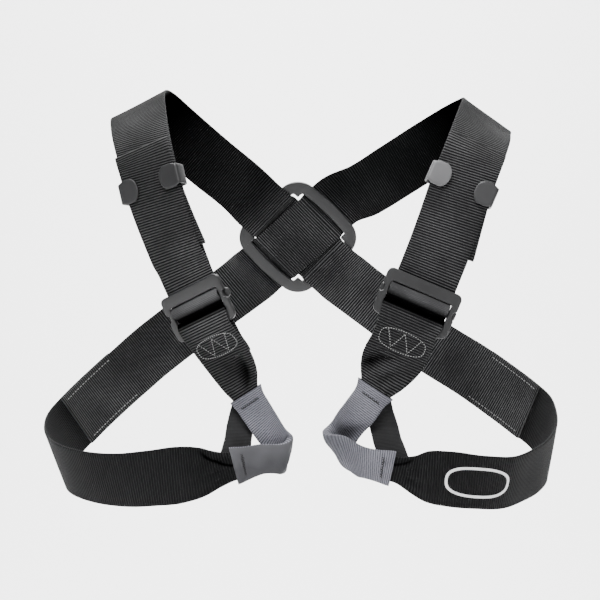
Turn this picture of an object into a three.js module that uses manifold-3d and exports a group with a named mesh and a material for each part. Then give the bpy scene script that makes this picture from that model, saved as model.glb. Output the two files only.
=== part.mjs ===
// A climbing chest harness in its worn form, in millimetres, +Z up, the wearer facing -Y.
// Two shoulder straps cross through a flat ring at the back and come down over the shoulders to a
// slide buckle each. A chest band is sewn on under each arm, runs round the ribs to the front, folds
// back in a cloth sleeve as an attachment eye, and rises to the lower bar of its buckle.
// The origin is the middle of the line on which the straps lie on the shoulders.
import * as THREE from "three";
import { mergeVertices } from "three/addons/utils/BufferGeometryUtils.js";
import Module from "manifold-3d";

const solid = await Module();
solid.setup();

// Webbing
const WEBBING_WIDTH = 45;
const WEBBING_THICK = 1.8;
const GAP = 0.3;
const PITCH = WEBBING_THICK + GAP;
const LAP_PITCH = PITCH + 0.35;

// The worn harness, between the middle lines of its webbing
const CHEST_WIDTH = 390;
const CHEST_DEPTH = 180;
const DROP = 295;

// Back ring, turned so that each strap crosses two of its bars squarely
const RING_SIZE = 78.5;
const RING_BAR = 9.5;
const RING_THICK = 3;
const RING_CORNER = 18.5;
const RING_BOW = 1.6;
const SLOT_HALF = 24.6;
const SLOT_CORNER = 1.8;
const TOOTH_CORNER = 0.9;
const RING_TURN = 45;
const RING_LEAN = 22;
const CROSS_TURN = 43;
const CROSS_ROOM = 1.2;
const RING_PLACE = { across: -0.009, back: 0.98, down: 0.315 };

// Slide buckles: a plate with a top bar, two legs and a lower bar, and a slider across the legs
const BUCKLE_THICK = 3;
const BUCKLE_LEG = 5.5;
const LEG_NOTCH = 2.4;
const NOTCH_EASE = 1.5;
const TOP_BAR = 9;
const LOWER_BAR = 8;
const SLIDER_BAR = 7;
const SLIDER_THICK = 3;
const WINDOW = 18;
const SLIDER_DROP = 11.4;
const PLATE_BEVEL = 0.5;
const SLIDER_BEVEL = 0.9;
const TURN_SHIFT = 0.4;

// Spare strap: how far it runs up from the buckle, and where its folded end stops
const TAIL_RISE = 115;
const RETURN_END = 33;
const RETURN_EASE = 12;
const RETURN_SHIFT = 8;
// How far the fold's line is turned, the right end up, and over what length the straps turn into it.
const FOLD_TURN = { left: 8, right: -8 };
const FOLD_EASE = 17;

// Keeper clips round the front strap
const KEEPER_LENGTH = 18;
const KEEPER_WALL = 1.5;
const KEEPER_TAB = 16.5;
const KEEPER_BEND = 2.2;
const KEEPER_ROOM = 1.3;
const KEEPER_SIDE_ROOM = 2.2;

// Attachment eyes: the band folds back on itself inside a cloth sleeve
const SLEEVE_WALL = 1.2;
const EYE_RADIUS = 4.6;
const SLEEVE_BULGE = 0.6;
const SEWN_END = 26;

// The chest bands overlap the ends of the back straps under the arms
const OVERLAP = 62;
const LAP_EASE = 30;

const STEP = 9;
const RADIAN = Math.PI / 180;

const cloth = new THREE.MeshStandardMaterial({ color: 0x1d1d1f, roughness: 0.85, metalness: 0 });
const sleeveCloth = new THREE.MeshStandardMaterial({ color: 0x74767f, roughness: 0.9, metalness: 0 });
const darkMetal = new THREE.MeshStandardMaterial({ color: 0x3b3b3d, roughness: 0.5, metalness: 0.6 });
const brightMetal = new THREE.MeshStandardMaterial({ color: 0x9a9a9c, roughness: 0.4, metalness: 0.8 });

// Each route table gives a webbing's middle line as shares of half the chest's width and depth and of
// the drop, then its ruling line's turn in the front view and tip away from it, in degrees. Width and
// thick are shares of the webbing's own, where it is gathered; cup is how far it bellies out.
const OVER_LEFT = [
  { across: -0.394, back: -0.988, down: 0.465, turn: 25.5, tip: -35 },
  { across: -0.446, back: -0.985, down: 0.383, turn: 19, tip: -32 },
  { across: -0.493, back: -0.967, down: 0.303, turn: 16, tip: -29 },
  { across: -0.534, back: -0.933, down: 0.229, turn: 15, tip: -27 },
  { across: -0.573, back: -0.86, down: 0.15, turn: 14, tip: -25 },
  { across: -0.6, back: -0.735, down: 0.086, turn: 14, tip: -21 },
  { across: -0.622, back: -0.5, down: 0.024, turn: 18, tip: -13 },
  { across: -0.631, back: -0.27, down: -0.01, turn: 24, tip: -6 },
  { across: -0.622, back: -0.06, down: -0.02, turn: 29, tip: -4 },
  { across: -0.59, back: 0.14, down: -0.01, turn: 35, tip: -8 },
  { across: -0.532, back: 0.35, down: 0.022, turn: 42, tip: -12 },
  { across: -0.37, back: 0.66, down: 0.112, turn: 49, tip: -10 },
  { across: -0.228, back: 0.82, down: 0.188, turn: 49, tip: -9 },
];
const OVER_RIGHT = [
  { across: 0.462, back: -0.978, down: 0.456, turn: -23, tip: 0 },
  { across: 0.507, back: -0.978, down: 0.382, turn: -20, tip: 0 },
  { across: 0.554, back: -0.967, down: 0.298, turn: -18, tip: 0 },
  { across: 0.599, back: -0.945, down: 0.213, turn: -18, tip: 0 },
  { across: 0.647, back: -0.88, down: 0.136, turn: -18, tip: 1 },
  { across: 0.685, back: -0.72, down: 0.076, turn: -21, tip: 3 },
  { across: 0.715, back: -0.44, down: 0.03, turn: -31, tip: 6 },
  { across: 0.73, back: -0.18, down: 0.01, turn: -36, tip: 8 },
  { across: 0.71, back: 0.06, down: 0.014, turn: -42, tip: 8 },
  { across: 0.63, back: 0.3, down: 0.042, turn: -52, tip: 4 },
  { across: 0.495, back: 0.53, down: 0.094, turn: -58, tip: 2 },
  { across: 0.387, back: 0.67, down: 0.138, turn: -59, tip: 2 },
  { across: 0.27, back: 0.79, down: 0.185, turn: -55, tip: 8 },
];
const UNDER_RIGHT = [
  { across: 0.24, back: 0.985, down: 0.457, turn: 48, tip: -6 },
  { across: 0.348, back: 1.01, down: 0.51, turn: 51, tip: -6 },
  { across: 0.572, back: 0.975, down: 0.623, turn: 56, tip: -6 },
  { across: 0.719, back: 0.865, down: 0.683, turn: 58, tip: -6 },
  { across: 0.837, back: 0.701, down: 0.739, turn: 61, tip: -8 },
  { across: 0.916, back: 0.511, down: 0.78, turn: 66, tip: -9 },
  { across: 0.968, back: 0.311, down: 0.812, turn: 73, tip: -11 },
  { across: 0.994, back: 0.089, down: 0.851, turn: 80, tip: -13 },
  { across: 0.985, back: -0.156, down: 0.886, turn: 82, tip: -15 },
  { across: 0.94, back: -0.378, down: 0.912, turn: 80, tip: -18 },
  { across: 0.873, back: -0.578, down: 0.93, turn: 79, tip: -22 },
  { across: 0.785, back: -0.778, down: 0.944, turn: 82, tip: -27 },
  { across: 0.679, back: -0.911, down: 0.94, turn: 86, tip: -27 },
  { across: 0.56, back: -0.985, down: 0.93, turn: 87, tip: -24, cup: 0.02 },
  { across: 0.463, back: -1.03, down: 0.921, turn: 86, tip: -20, width: 0.86, thick: 1.2, cup: 0.04 },
  { across: 0.415, back: -1.045, down: 0.915, turn: 80, tip: -14, width: 0.62, thick: 1.7 },
  { across: 0.38, back: -1.052, down: 0.908, turn: 76, tip: -8, width: 0.47, thick: 2 },
  { across: 0.29, back: -1.055, down: 0.895, turn: 84, tip: -6, width: 0.41, thick: 2 },
  { across: 0.215, back: -1.055, down: 0.882, turn: 97, tip: 0, width: 0.38, thick: 2 },
];
const UNDER_LEFT = [
  { across: -0.25, back: 0.985, down: 0.448, turn: -49, tip: 8 },
  { across: -0.352, back: 1.01, down: 0.497, turn: -53, tip: 8 },
  { across: -0.523, back: 0.975, down: 0.58, turn: -52, tip: 10 },
  { across: -0.643, back: 0.86, down: 0.644, turn: -52, tip: 14 },
  { across: -0.79, back: 0.667, down: 0.731, turn: -53, tip: 18 },
  { across: -0.889, back: 0.467, down: 0.797, turn: -56, tip: 19 },
  { across: -0.95, back: 0.244, down: 0.846, turn: -61, tip: 18 },
  { across: -0.964, back: 0, down: 0.879, turn: -67, tip: 17 },
  { across: -0.946, back: -0.267, down: 0.905, turn: -72, tip: 19 },
  { across: -0.896, back: -0.511, down: 0.919, turn: -75, tip: 22 },
  { across: -0.791, back: -0.733, down: 0.932, turn: -77, tip: 24 },
  { across: -0.657, back: -0.889, down: 0.935, turn: -80, tip: 24 },
  { across: -0.552, back: -0.967, down: 0.928, turn: -84, tip: 22 },
  { across: -0.45, back: -1.015, down: 0.919, turn: -86, tip: 20, cup: 0.02 },
  { across: -0.365, back: -1.035, down: 0.91, turn: -81, tip: 16, width: 0.84, thick: 1.2, cup: 0.03 },
  { across: -0.315, back: -1.045, down: 0.904, turn: -75, tip: 10, width: 0.62, thick: 1.7 },
  { across: -0.27, back: -1.052, down: 0.899, turn: -74, tip: 4, width: 0.49, thick: 2 },
  { across: -0.19, back: -1.055, down: 0.887, turn: -80, tip: 2, width: 0.42, thick: 2 },
  { across: -0.125, back: -1.055, down: 0.876, turn: -98, tip: 0, width: 0.38, thick: 2 },
];
// From the eye up to the lower bar of the buckle
const RISE_LEFT = [
  { across: -0.092, back: -0.95, down: 0.832, turn: -120, tip: 0, width: 0.38, thick: 2 },
  { across: -0.122, back: -0.945, down: 0.804, turn: -134, tip: 2, width: 0.4, thick: 2 },
  { across: -0.16, back: -0.945, down: 0.766, turn: -144, tip: 6, width: 0.42, thick: 2 },
  { across: -0.201, back: -0.955, down: 0.722, turn: -147, tip: 14, width: 0.47, thick: 2 },
  { across: -0.226, back: -0.975, down: 0.685, turn: -152, tip: 22, width: 0.7, thick: 1.5 },
  { across: -0.267, back: -1.003, down: 0.637, turn: -155, tip: 28, width: 0.88, thick: 1.1, cup: 0.01 },
  { across: -0.314, back: -1.03, down: 0.594, turn: -155, tip: 34, width: 0.96 },
];
const RISE_RIGHT = [
  { across: 0.17, back: -0.945, down: 0.806, turn: 130, tip: -2, width: 0.42, thick: 2 },
  { across: 0.222, back: -0.95, down: 0.765, turn: 142, tip: -6, width: 0.47, thick: 2 },
  { across: 0.276, back: -0.96, down: 0.713, turn: 146, tip: -8, width: 0.52, thick: 2 },
  { across: 0.304, back: -0.976, down: 0.682, turn: 151, tip: -8, width: 0.78, thick: 1.4 },
  { across: 0.336, back: -0.998, down: 0.646, turn: 157, tip: -4, width: 0.97, cup: 0.02 },
  { across: 0.376, back: -1.022, down: 0.598, turn: 157, tip: 0 },
];
// The strip behind each eye, from behind the sleeve's upper end to behind its lower end
const LINK_LEFT = [
  { across: -0.201, back: -0.85, down: 0.735, turn: 180, tip: -8, width: 0.42 },
  { across: -0.212, back: -0.86, down: 0.766, turn: 180, tip: -6, width: 0.44 },
  { across: -0.225, back: -0.883, down: 0.803, turn: 180, tip: -4, width: 0.44 },
  { across: -0.232, back: -0.92, down: 0.834, turn: 178, tip: -2, width: 0.44 },
  { across: -0.235, back: -0.962, down: 0.863, turn: 176, tip: 0, width: 0.46 },
  { across: -0.238, back: -0.993, down: 0.897, turn: 176, tip: 0, width: 0.46 },
];
const LINK_RIGHT = [
  { across: 0.292, back: -0.876, down: 0.735, turn: 180, tip: 6, width: 0.42 },
  { across: 0.3, back: -0.877, down: 0.766, turn: 180, tip: 4, width: 0.44 },
  { across: 0.315, back: -0.883, down: 0.803, turn: 182, tip: 2, width: 0.46 },
  { across: 0.326, back: -0.92, down: 0.834, turn: 184, tip: 0, width: 0.46 },
  { across: 0.331, back: -0.962, down: 0.863, turn: 186, tip: 0, width: 0.46 },
  { across: 0.332, back: -0.993, down: 0.897, turn: 186, tip: 0, width: 0.46 },
];
// The fold of each eye: its place, the turn of its fold line and the slant of the band across it, and
// how far the sleeve runs along the lower and the upper leg.
const EYE_LEFT = { across: -0.07, back: -1, down: 0.865, turn: -107, slant: 60, lower: 32, upper: 46 };
const EYE_RIGHT = { across: 0.16, back: -1, down: 0.847, turn: 109, slant: 58, lower: 35, upper: 44 };
// How far from the ring each shoulder strap ends, sewn inside the chest band
const SEAM = { left: 206, right: 206 };
// How far each keeper is turned in the plane of its strap
const KEEPER_TURN = { left: 4, right: -6 };
const KEEPER_RISE = { left: 86.5, right: 82.5 };

// Gives the unit vector of an angle in the front view and an angle away from it.
function heading(turn, tip) {
  const flat = Math.cos(tip * RADIAN);
  return new THREE.Vector3(
    flat * Math.cos(turn * RADIAN),
    Math.sin(tip * RADIAN),
    flat * Math.sin(turn * RADIAN),
  );
}

// Gives the point that a row names by its shares.
function placeOf(row) {
  return new THREE.Vector3(
    (row.across * CHEST_WIDTH) / 2,
    (row.back * CHEST_DEPTH) / 2,
    -row.down * DROP,
  );
}

// Turns a row into a station: a place on the middle line, the ruling line there, and the section.
function station(at, ruling, { width = 1, thick = 1, cup = 0 } = {}) {
  return { at, ruling, width, thick, cup };
}

// Gives the turn and tip of a ruling line, the turn taken nearest to another turn.
function anglesOf(ruling, near) {
  const turn = Math.atan2(ruling.z, ruling.x) / RADIAN;
  const tip = Math.asin(Math.min(Math.max(ruling.y, -1), 1)) / RADIAN;
  return [turn + 360 * Math.round((near - turn) / 360), tip];
}

// Gives the stations a step apart on a smooth line from one pair of stations through the rows to
// another pair, by cubic pieces whose slope at a row is the weighted mean of those on its two sides.
function route(rows, before, after) {
  const guide = (s, near) => [...s.at.toArray(), ...anglesOf(s.ruling, near), s.width, s.thick, s.cup];
  const columns = [
    ...before.map((s) => guide(s, rows[0].turn)),
    ...rows.map((row) => [
      ...placeOf(row).toArray(),
      row.turn,
      row.tip,
      row.width ?? 1,
      row.thick ?? 1,
      row.cup ?? 0,
    ]),
    ...after.map((s) => guide(s, rows[rows.length - 1].turn)),
  ];
  const knots = [0];
  for (let i = 1; i < columns.length; i++) {
    const a = columns[i - 1];
    const b = columns[i];
    knots.push(knots[i - 1] + Math.hypot(b[0] - a[0], b[1] - a[1], b[2] - a[2]));
  }
  const slope = columns.map((row, i) => {
    if (i === 0 || i === columns.length - 1) return row.map(() => 0);
    const back = knots[i] - knots[i - 1];
    const on = knots[i + 1] - knots[i];
    return row.map((value, k) => {
      const rise = (columns[i + 1][k] - value) / on;
      const came = (value - columns[i - 1][k]) / back;
      return (rise * back + came * on) / (back + on);
    });
  });
  const stations = [];
  for (let i = 1; i < columns.length - 2; i++) {
    const span = knots[i + 1] - knots[i];
    const pieces = Math.max(1, Math.round(span / STEP));
    for (let k = 0; k < pieces; k++) {
      const t = k / pieces;
      const value = columns[i].map((a, c) => {
        const held = a * (1 + 2 * t) * (1 - t) ** 2 + columns[i + 1][c] * t * t * (3 - 2 * t);
        const eased = slope[i][c] * t * (1 - t) ** 2 + slope[i + 1][c] * t * t * (t - 1);
        return held + eased * span;
      });
      const at = new THREE.Vector3(...value.slice(0, 3));
      const section = { width: value[5], thick: value[6], cup: value[7] };
      stations.push(station(at, heading(value[3], value[4]), section));
    }
  }
  return stations.slice(1);
}

// Gives the travel direction at a station, from its neighbours.
function travel(stations, i) {
  const from = stations[Math.max(i - 1, 0)].at;
  const to = stations[Math.min(i + 1, stations.length - 1)].at;
  return to.clone().sub(from).normalize();
}

// Gives the outward face direction at a station.
function face(stations, i) {
  return stations[i].ruling.clone().cross(travel(stations, i)).normalize();
}

// Moves a run of stations off along their face, by a fixed height or one that follows the arc length.
function lifted(stations, height) {
  let length = 0;
  return stations.map((s, i) => {
    if (i > 0) length += s.at.distanceTo(stations[i - 1].at);
    const rise = typeof height === "function" ? height(length) : height;
    return { ...s, at: s.at.clone().addScaledVector(face(stations, i), rise) };
  });
}

// Gives the part of a run of stations between two arc lengths, cut exactly at both.
function between(stations, from, to) {
  const kept = [];
  let length = 0;
  for (let i = 0; i < stations.length; i++) {
    const s = stations[i];
    const next = stations[i + 1];
    if (length >= from && length <= to) kept.push(s);
    if (!next) break;
    const span = s.at.distanceTo(next.at);
    for (const cut of [from, to]) {
      if (cut > length && cut < length + span) kept.push(blend(s, next, (cut - length) / span));
    }
    length += span;
  }
  return kept;
}

// Gives the station a share of the way from one to the next.
function blend(a, b, share) {
  const mix = (x, y) => x + (y - x) * share;
  return station(a.at.clone().lerp(b.at, share), a.ruling.clone().lerp(b.ruling, share).normalize(), {
    width: mix(a.width, b.width),
    thick: mix(a.thick, b.thick),
    cup: mix(a.cup, b.cup),
  });
}

// Gives the arc length of a run of stations.
function lengthOf(stations) {
  return stations.slice(1).reduce((sum, s, i) => sum + s.at.distanceTo(stations[i].at), 0);
}

// Rises smoothly from 0 to 1 over a stretch.
function ease(value, from, to) {
  const t = Math.min(Math.max((value - from) / (to - from), 0), 1);
  return t * t * (3 - 2 * t);
}

// Makes a closed mesh from rings of points: each ring is joined to the next, and the two ends are
// closed with fans, or, where each ring is a pair of loops, with the strip between the two.
function skin(rings, close) {
  const count = rings[0].length;
  const points = rings.flat();
  const faces = [];
  for (let i = 0; i + 1 < rings.length; i++) {
    for (let j = 0; j < count; j++) {
      const k = (j + 1) % count;
      const [a, b, c, d] = [i * count + j, i * count + k, (i + 1) * count + j, (i + 1) * count + k];
      faces.push([a, b, c], [b, d, c]);
    }
  }
  close(faces, count, rings.length - 1);
  const geometry = new THREE.BufferGeometry().setFromPoints(points);
  geometry.setIndex(faces.flat());
  return geometry;
}

// A strip of webbing: at each station a flat section, its length along the ruling line stretched by
// the slant between ruling and travel, so that the webbing's own width stays true.
function strip(stations, { width = WEBBING_WIDTH, thick = WEBBING_THICK, cells = 1 } = {}) {
  const rings = stations.map((s, i) => {
    const slant = s.ruling.clone().cross(travel(stations, i)).length();
    const outward = face(stations, i);
    const point = (u, side) =>
      s.at
        .clone()
        .addScaledVector(s.ruling, (u * s.width * width) / 2 / slant)
        .addScaledVector(outward, (side * s.thick * thick) / 2 + s.cup * width * (1 - u * u));
    const across = Array.from({ length: cells + 1 }, (_, j) => -1 + (2 * j) / cells);
    return [...across.map((u) => point(u, 1)), ...across.reverse().map((u) => point(u, -1))];
  });
  return skin(rings, (faces, count, last) => {
    for (let j = 0; j < count / 2 - 1; j++) {
      const [a, b, c, d] = [j, j + 1, count - 1 - j, count - 2 - j];
      const end = last * count;
      faces.push([a, c, b], [b, c, d], [end + a, end + b, end + c], [end + b, end + d, end + c]);
    }
  });
}

// A cloth sleeve round a run of stations: a flattened tube with soft edges, open at both ends.
function sleeve(stations) {
  const loop = (s, outward, slant, grow) => {
    const half = (s.width * WEBBING_WIDTH) / 2 + grow;
    const deep = (s.thick * WEBBING_THICK) / 2 + grow;
    const corners = [
      [half / 2, deep],
      [half, deep * 0.94],
      [half + SLEEVE_BULGE, deep / 2],
      [half + SLEEVE_BULGE, -deep / 2],
      [half, -deep * 0.94],
      [half / 2, -deep],
    ];
    const whole = [...corners, ...corners.map(([x, y]) => [-x, -y])];
    return whole.map(([x, y]) =>
      s.at.clone().addScaledVector(s.ruling, x / slant).addScaledVector(outward, y),
    );
  };
  const frames = stations.map((s, i) => ({
    s,
    outward: face(stations, i),
    slant: s.ruling.clone().cross(travel(stations, i)).length(),
  }));
  const outer = frames.map(({ s, outward, slant }) => loop(s, outward, slant, 1.4 * GAP + SLEEVE_WALL));
  const inner = frames.map(({ s, outward, slant }) => loop(s, outward, slant, 1.4 * GAP));
  const count = outer[0].length;
  const points = [...outer, ...inner].flat();
  const hollow = outer.length * count;
  const faces = [];
  const end = (outer.length - 1) * count;
  for (let j = 0; j < count; j++) {
    const k = (j + 1) % count;
    for (let i = 0; i + 1 < outer.length; i++) {
      const [a, b, c, d] = [i * count + j, i * count + k, (i + 1) * count + j, (i + 1) * count + k];
      faces.push([a, b, c], [b, d, c]);
      faces.push([hollow + a, hollow + c, hollow + b], [hollow + b, hollow + c, hollow + d]);
    }
    faces.push([j, hollow + j, k], [k, hollow + j, hollow + k]);
    faces.push([end + j, end + k, hollow + end + j], [end + k, hollow + end + k, hollow + end + j]);
  }
  const geometry = new THREE.BufferGeometry().setFromPoints(points);
  geometry.setIndex(faces.flat());
  return geometry;
}

// A flat plate from an outline, with small bevels, its middle plane at z = 0.
function plate(outline, thick, bevel = PLATE_BEVEL) {
  const geometry = new THREE.ExtrudeGeometry(outline, {
    depth: thick - 2 * bevel,
    bevelThickness: bevel,
    bevelSize: bevel,
    bevelOffset: -bevel,
    bevelSegments: 1,
    curveSegments: 5,
  });
  return geometry.translate(0, 0, bevel - thick / 2);
}

// Draws a closed outline through corners that are rounded by their own radius.
function rounded(target, corners) {
  const count = corners.length;
  corners.forEach(([x, y, radius], i) => {
    const [px, py] = corners[(i + count - 1) % count];
    const [nx, ny] = corners[(i + 1) % count];
    const before = Math.hypot(px - x, py - y);
    const after = Math.hypot(nx - x, ny - y);
    const start = [x + ((px - x) * radius) / before, y + ((py - y) * radius) / before];
    const end = [x + ((nx - x) * radius) / after, y + ((ny - y) * radius) / after];
    if (i === 0) target.moveTo(...start);
    else target.lineTo(...start);
    target.quadraticCurveTo(x, y, ...end);
  });
  target.closePath();
  return target;
}

// Draws the ring's window: four slots with bowed outer sides, parted by a tooth of metal in each corner.
function slottedSquare(target, half, bow) {
  const s = SLOT_HALF;
  const r = SLOT_CORNER;
  const t = TOOTH_CORNER;
  const quarter = [
    [half + 2 * bow, 0, half, s - r],
    [half, s, half - r, s],
    [s, s, s, s + t],
    [s, half, s - r, half],
  ];
  target.moveTo(half, r - s);
  for (const turns of [0, 1, 2, 3]) {
    const c = Math.round(Math.cos((turns * Math.PI) / 2));
    const d = Math.round(Math.sin((turns * Math.PI) / 2));
    const turned = (x, y) => [x * c - y * d, x * d + y * c];
    quarter.forEach(([bx, by, x, y], i) => {
      if (i === 2) target.lineTo(...turned(s + t, s));
      if (i === 3) target.lineTo(...turned(s, half - r));
      target.quadraticCurveTo(...turned(bx, by), ...turned(x, y));
    });
  }
  return target;
}

// Draws a square with round corners and slightly bowed sides.
function bowedSquare(target, size, corner, bow) {
  const h = size / 2;
  const c = h - corner;
  const reach = 2 * bow;
  target.moveTo(h, -c);
  target.quadraticCurveTo(h + reach, 0, h, c);
  target.absarc(c, c, corner, 0, Math.PI / 2, false);
  target.quadraticCurveTo(0, h + reach, -c, h);
  target.absarc(-c, c, corner, Math.PI / 2, Math.PI, false);
  target.quadraticCurveTo(-h - reach, 0, -h, -c);
  target.absarc(-c, -c, corner, Math.PI, 1.5 * Math.PI, false);
  target.quadraticCurveTo(0, -h - reach, c, -h);
  target.absarc(c, -c, corner, 1.5 * Math.PI, 2 * Math.PI, false);
  return target;
}

// A frame of three directions at a place: x along the bars, y up the strap, z to the outside.
function frameAt(at, turn, tip, lean = 0) {
  const x = heading(turn, tip);
  const y = new THREE.Vector3(-Math.sin(turn * RADIAN), 0, Math.cos(turn * RADIAN));
  y.applyAxisAngle(x, lean * RADIAN);
  const z = x.clone().cross(y);
  const spot = (px, py, pz) =>
    at.clone().addScaledVector(x, px).addScaledVector(y, py).addScaledVector(z, pz);
  return { at, x, y, z, spot, matrix: new THREE.Matrix4().makeBasis(x, y, z).setPosition(at) };
}

// Back ring
const ring = frameAt(placeOf(RING_PLACE), 0, 0, RING_LEAN);
const ringDown = ring.x.clone().applyAxisAngle(ring.z, -CROSS_TURN * RADIAN);
const ringBack = ring.x.clone().negate().applyAxisAngle(ring.z, CROSS_TURN * RADIAN);

function backRing() {
  const outline = bowedSquare(new THREE.Shape(), RING_SIZE, RING_CORNER, RING_BOW);
  outline.holes.push(slottedSquare(new THREE.Path(), RING_SIZE / 2 - RING_BAR, RING_BOW));
  return plate(outline, RING_THICK).rotateZ(RING_TURN * RADIAN);
}

// Stations of a strap through the ring: past two bars on one side, past the other strap on the other.
function throughRing(along, side) {
  const across = ring.z.clone().cross(along);
  const outer = RING_SIZE / 2 + RING_BOW;
  const inner = RING_SIZE / 2 - RING_BAR - GAP;
  const middle = (WEBBING_WIDTH + WEBBING_THICK) / 2 + CROSS_ROOM;
  const barLift = (RING_THICK + WEBBING_THICK) / 2 + GAP;
  const stops = [outer + 1.5, outer - 2, inner, 0.75, 0.5, 0.25, middle].map((stop) =>
    stop < 1 ? middle + (inner - middle) * stop : stop,
  );
  const all = [...stops.map((stop) => -stop), 0, ...stops.slice().reverse()];
  return all.map((stop) => {
    const share = ease(Math.abs(stop), middle, inner);
    const height = side * (share * barLift - (1 - share) * (PITCH / 2));
    const at = ring.at.clone().addScaledVector(along, stop).addScaledVector(ring.z, height);
    return station(at, across.clone());
  });
}

// Buckle plate with its slider, placed so that the strap's base layer passes behind it
const STACK = BUCKLE_THICK / 2 + GAP + WEBBING_THICK + GAP + WEBBING_THICK / 2;
const PLATE_WIDTH = WEBBING_WIDTH + 2 * (BUCKLE_LEG + 1);
const LOWER_EDGE = -TOP_BAR / 2 - WINDOW;

function buckleFrame(rows) {
  const [{ turn, tip }] = rows;
  return frameAt(frameAt(placeOf(rows[0]), turn, tip).spot(0, 0, STACK), turn, tip);
}

function bucklePlate() {
  const half = PLATE_WIDTH / 2;
  const notch = half - LEG_NOTCH;
  const top = -SLIDER_DROP + SLIDER_BAR / 2;
  const bottom = -SLIDER_DROP - SLIDER_BAR / 2;
  const side = [
    [half, LOWER_EDGE - LOWER_BAR, 6],
    [half, bottom, 1.2],
    [notch, bottom + NOTCH_EASE, 1.2],
    [notch, top - NOTCH_EASE, 1.2],
    [half, top, 1.2],
    [half, TOP_BAR / 2, 5],
  ];
  const other = side.map(([x, y, radius]) => [-x, y, radius]).reverse();
  const outline = rounded(new THREE.Shape(), [...side, ...other]);
  const opening = half - BUCKLE_LEG;
  outline.holes.push(
    rounded(new THREE.Path(), [
      [opening, -TOP_BAR / 2, 1.5],
      [-opening, -TOP_BAR / 2, 1.5],
      [-opening, LOWER_EDGE, 1.5],
      [opening, LOWER_EDGE, 1.5],
    ]),
  );
  return plate(outline, BUCKLE_THICK);
}

function buckleSlider() {
  const half = PLATE_WIDTH / 2;
  const edge = SLIDER_BAR / 2;
  const outline = rounded(new THREE.Shape(), [
    [half, -edge, 2],
    [half, edge, 2],
    [-half, edge, 2],
    [-half, -edge, 2],
  ]);
  const bar = plate(outline, SLIDER_THICK, SLIDER_BEVEL);
  return bar.translate(0, -SLIDER_DROP, -(BUCKLE_THICK + SLIDER_THICK) / 2 - GAP);
}

// Stations of the shoulder strap round the slider, from the base layer to the tail layer.
function roundSlider(frame) {
  const off = GAP + WEBBING_THICK / 2;
  const front = -BUCKLE_THICK / 2 - GAP + off;
  const back = -BUCKLE_THICK / 2 - GAP - SLIDER_THICK - off;
  const radius = (front - back) / 2;
  const middle = (front + back) / 2;
  const turnAt = -SLIDER_DROP - SLIDER_BAR / 2 + SLIDER_THICK / 2 - TURN_SHIFT;
  const shoulder = -SLIDER_DROP + SLIDER_BAR / 2 + 0.6;
  const stops = [
    [-TOP_BAR / 2 - 0.6, -STACK],
    [shoulder, back],
  ];
  for (let k = 0; k <= 6; k++) {
    const angle = (Math.PI * k) / 6;
    stops.push([turnAt - radius * Math.sin(angle), middle - radius * Math.cos(angle)]);
  }
  stops.push([shoulder - 0.6, front], [-TOP_BAR / 2 - 0.6, PITCH - STACK]);
  return stops.map(([y, z]) => station(frame.spot(0, y, z), frame.x.clone()));
}

// Stations of the chest band round the lower bar, from its front layer to its back layer.
function roundLowerBar(frame, ruling) {
  const radius = BUCKLE_THICK / 2 + GAP + WEBBING_THICK / 2;
  const turnAt = LOWER_EDGE - BUCKLE_THICK / 2 + TURN_SHIFT;
  const foot = LOWER_EDGE - LOWER_BAR;
  const stops = [[foot + 1, radius]];
  for (let k = 0; k <= 6; k++) {
    const angle = (Math.PI * k) / 6;
    stops.push([turnAt + radius * Math.sin(angle), radius * Math.cos(angle)]);
  }
  stops.push([foot + 1, -radius]);
  return stops.map(([y, z]) => station(frame.spot(0, y, z), ruling.clone()));
}

// Stations of the fold of an eye: a half turn round the slanting fold line, front to rear.
function eyeFold(eye, inward) {
  const line = heading(eye.turn, 0);
  const out = new THREE.Vector3(inward, 0, 0);
  out.addScaledVector(line, -out.dot(line)).normalize();
  const rise = EYE_RADIUS / Math.tan(eye.slant * RADIAN);
  const up = line.clone().multiplyScalar(Math.sign(line.z));
  const centre = placeOf(eye);
  const stations = [];
  for (let k = 0; k <= 8; k++) {
    const angle = (Math.PI * k) / 8;
    const at = centre
      .clone()
      .addScaledVector(out, EYE_RADIUS * Math.sin(angle))
      .addScaledVector(up, rise * (angle - Math.PI / 2));
    at.y -= EYE_RADIUS * Math.cos(angle);
    stations.push(station(at, line.clone(), { width: 0.37, thick: 2 }));
  }
  return stations;
}

// Moves a run of stations along their ruling lines, most at its start and not at its end.
function shifted(stations, by) {
  const whole = lengthOf(stations);
  let length = 0;
  return stations.map((s, i) => {
    if (i > 0) length += s.at.distanceTo(stations[i - 1].at);
    return { ...s, at: s.at.clone().addScaledVector(s.ruling, by * (1 - length / whole) ** 2) };
  });
}

// The folded spare strap in front of a shoulder strap: its end, up to the top fold and down again.
function spareStrap(front, turn) {
  const flat = between(front, 0, TAIL_RISE);
  let length = 0;
  const under = flat.map((s, i) => {
    if (i > 0) length += s.at.distanceTo(flat[i - 1].at);
    const angle = turn * RADIAN * ease(length, TAIL_RISE - FOLD_EASE, TAIL_RISE);
    return { ...s, ruling: s.ruling.clone().applyAxisAngle(face(flat, i), angle) };
  });
  const last = under.length - 1;
  const out = face(under, last);
  const up = travel(under, last);
  const fold = [1, 2, 3, 4, 5].map((k) => {
    const angle = (Math.PI * k) / 6;
    const at = under[last].at
      .clone()
      .addScaledVector(out, PITCH * (1.5 - Math.cos(angle) / 2))
      .addScaledVector(up, (PITCH / 2) * Math.sin(angle));
    return { ...under[last], at };
  });
  const back = between(shifted(lifted(under, PITCH), RETURN_SHIFT), RETURN_END, 2 * TAIL_RISE);
  const rise = (length) => PITCH * (1 + ease(length, RETURN_END - RETURN_EASE, RETURN_END - 1));
  return [...back, ...fold, ...lifted(under, rise).reverse()];
}

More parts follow.
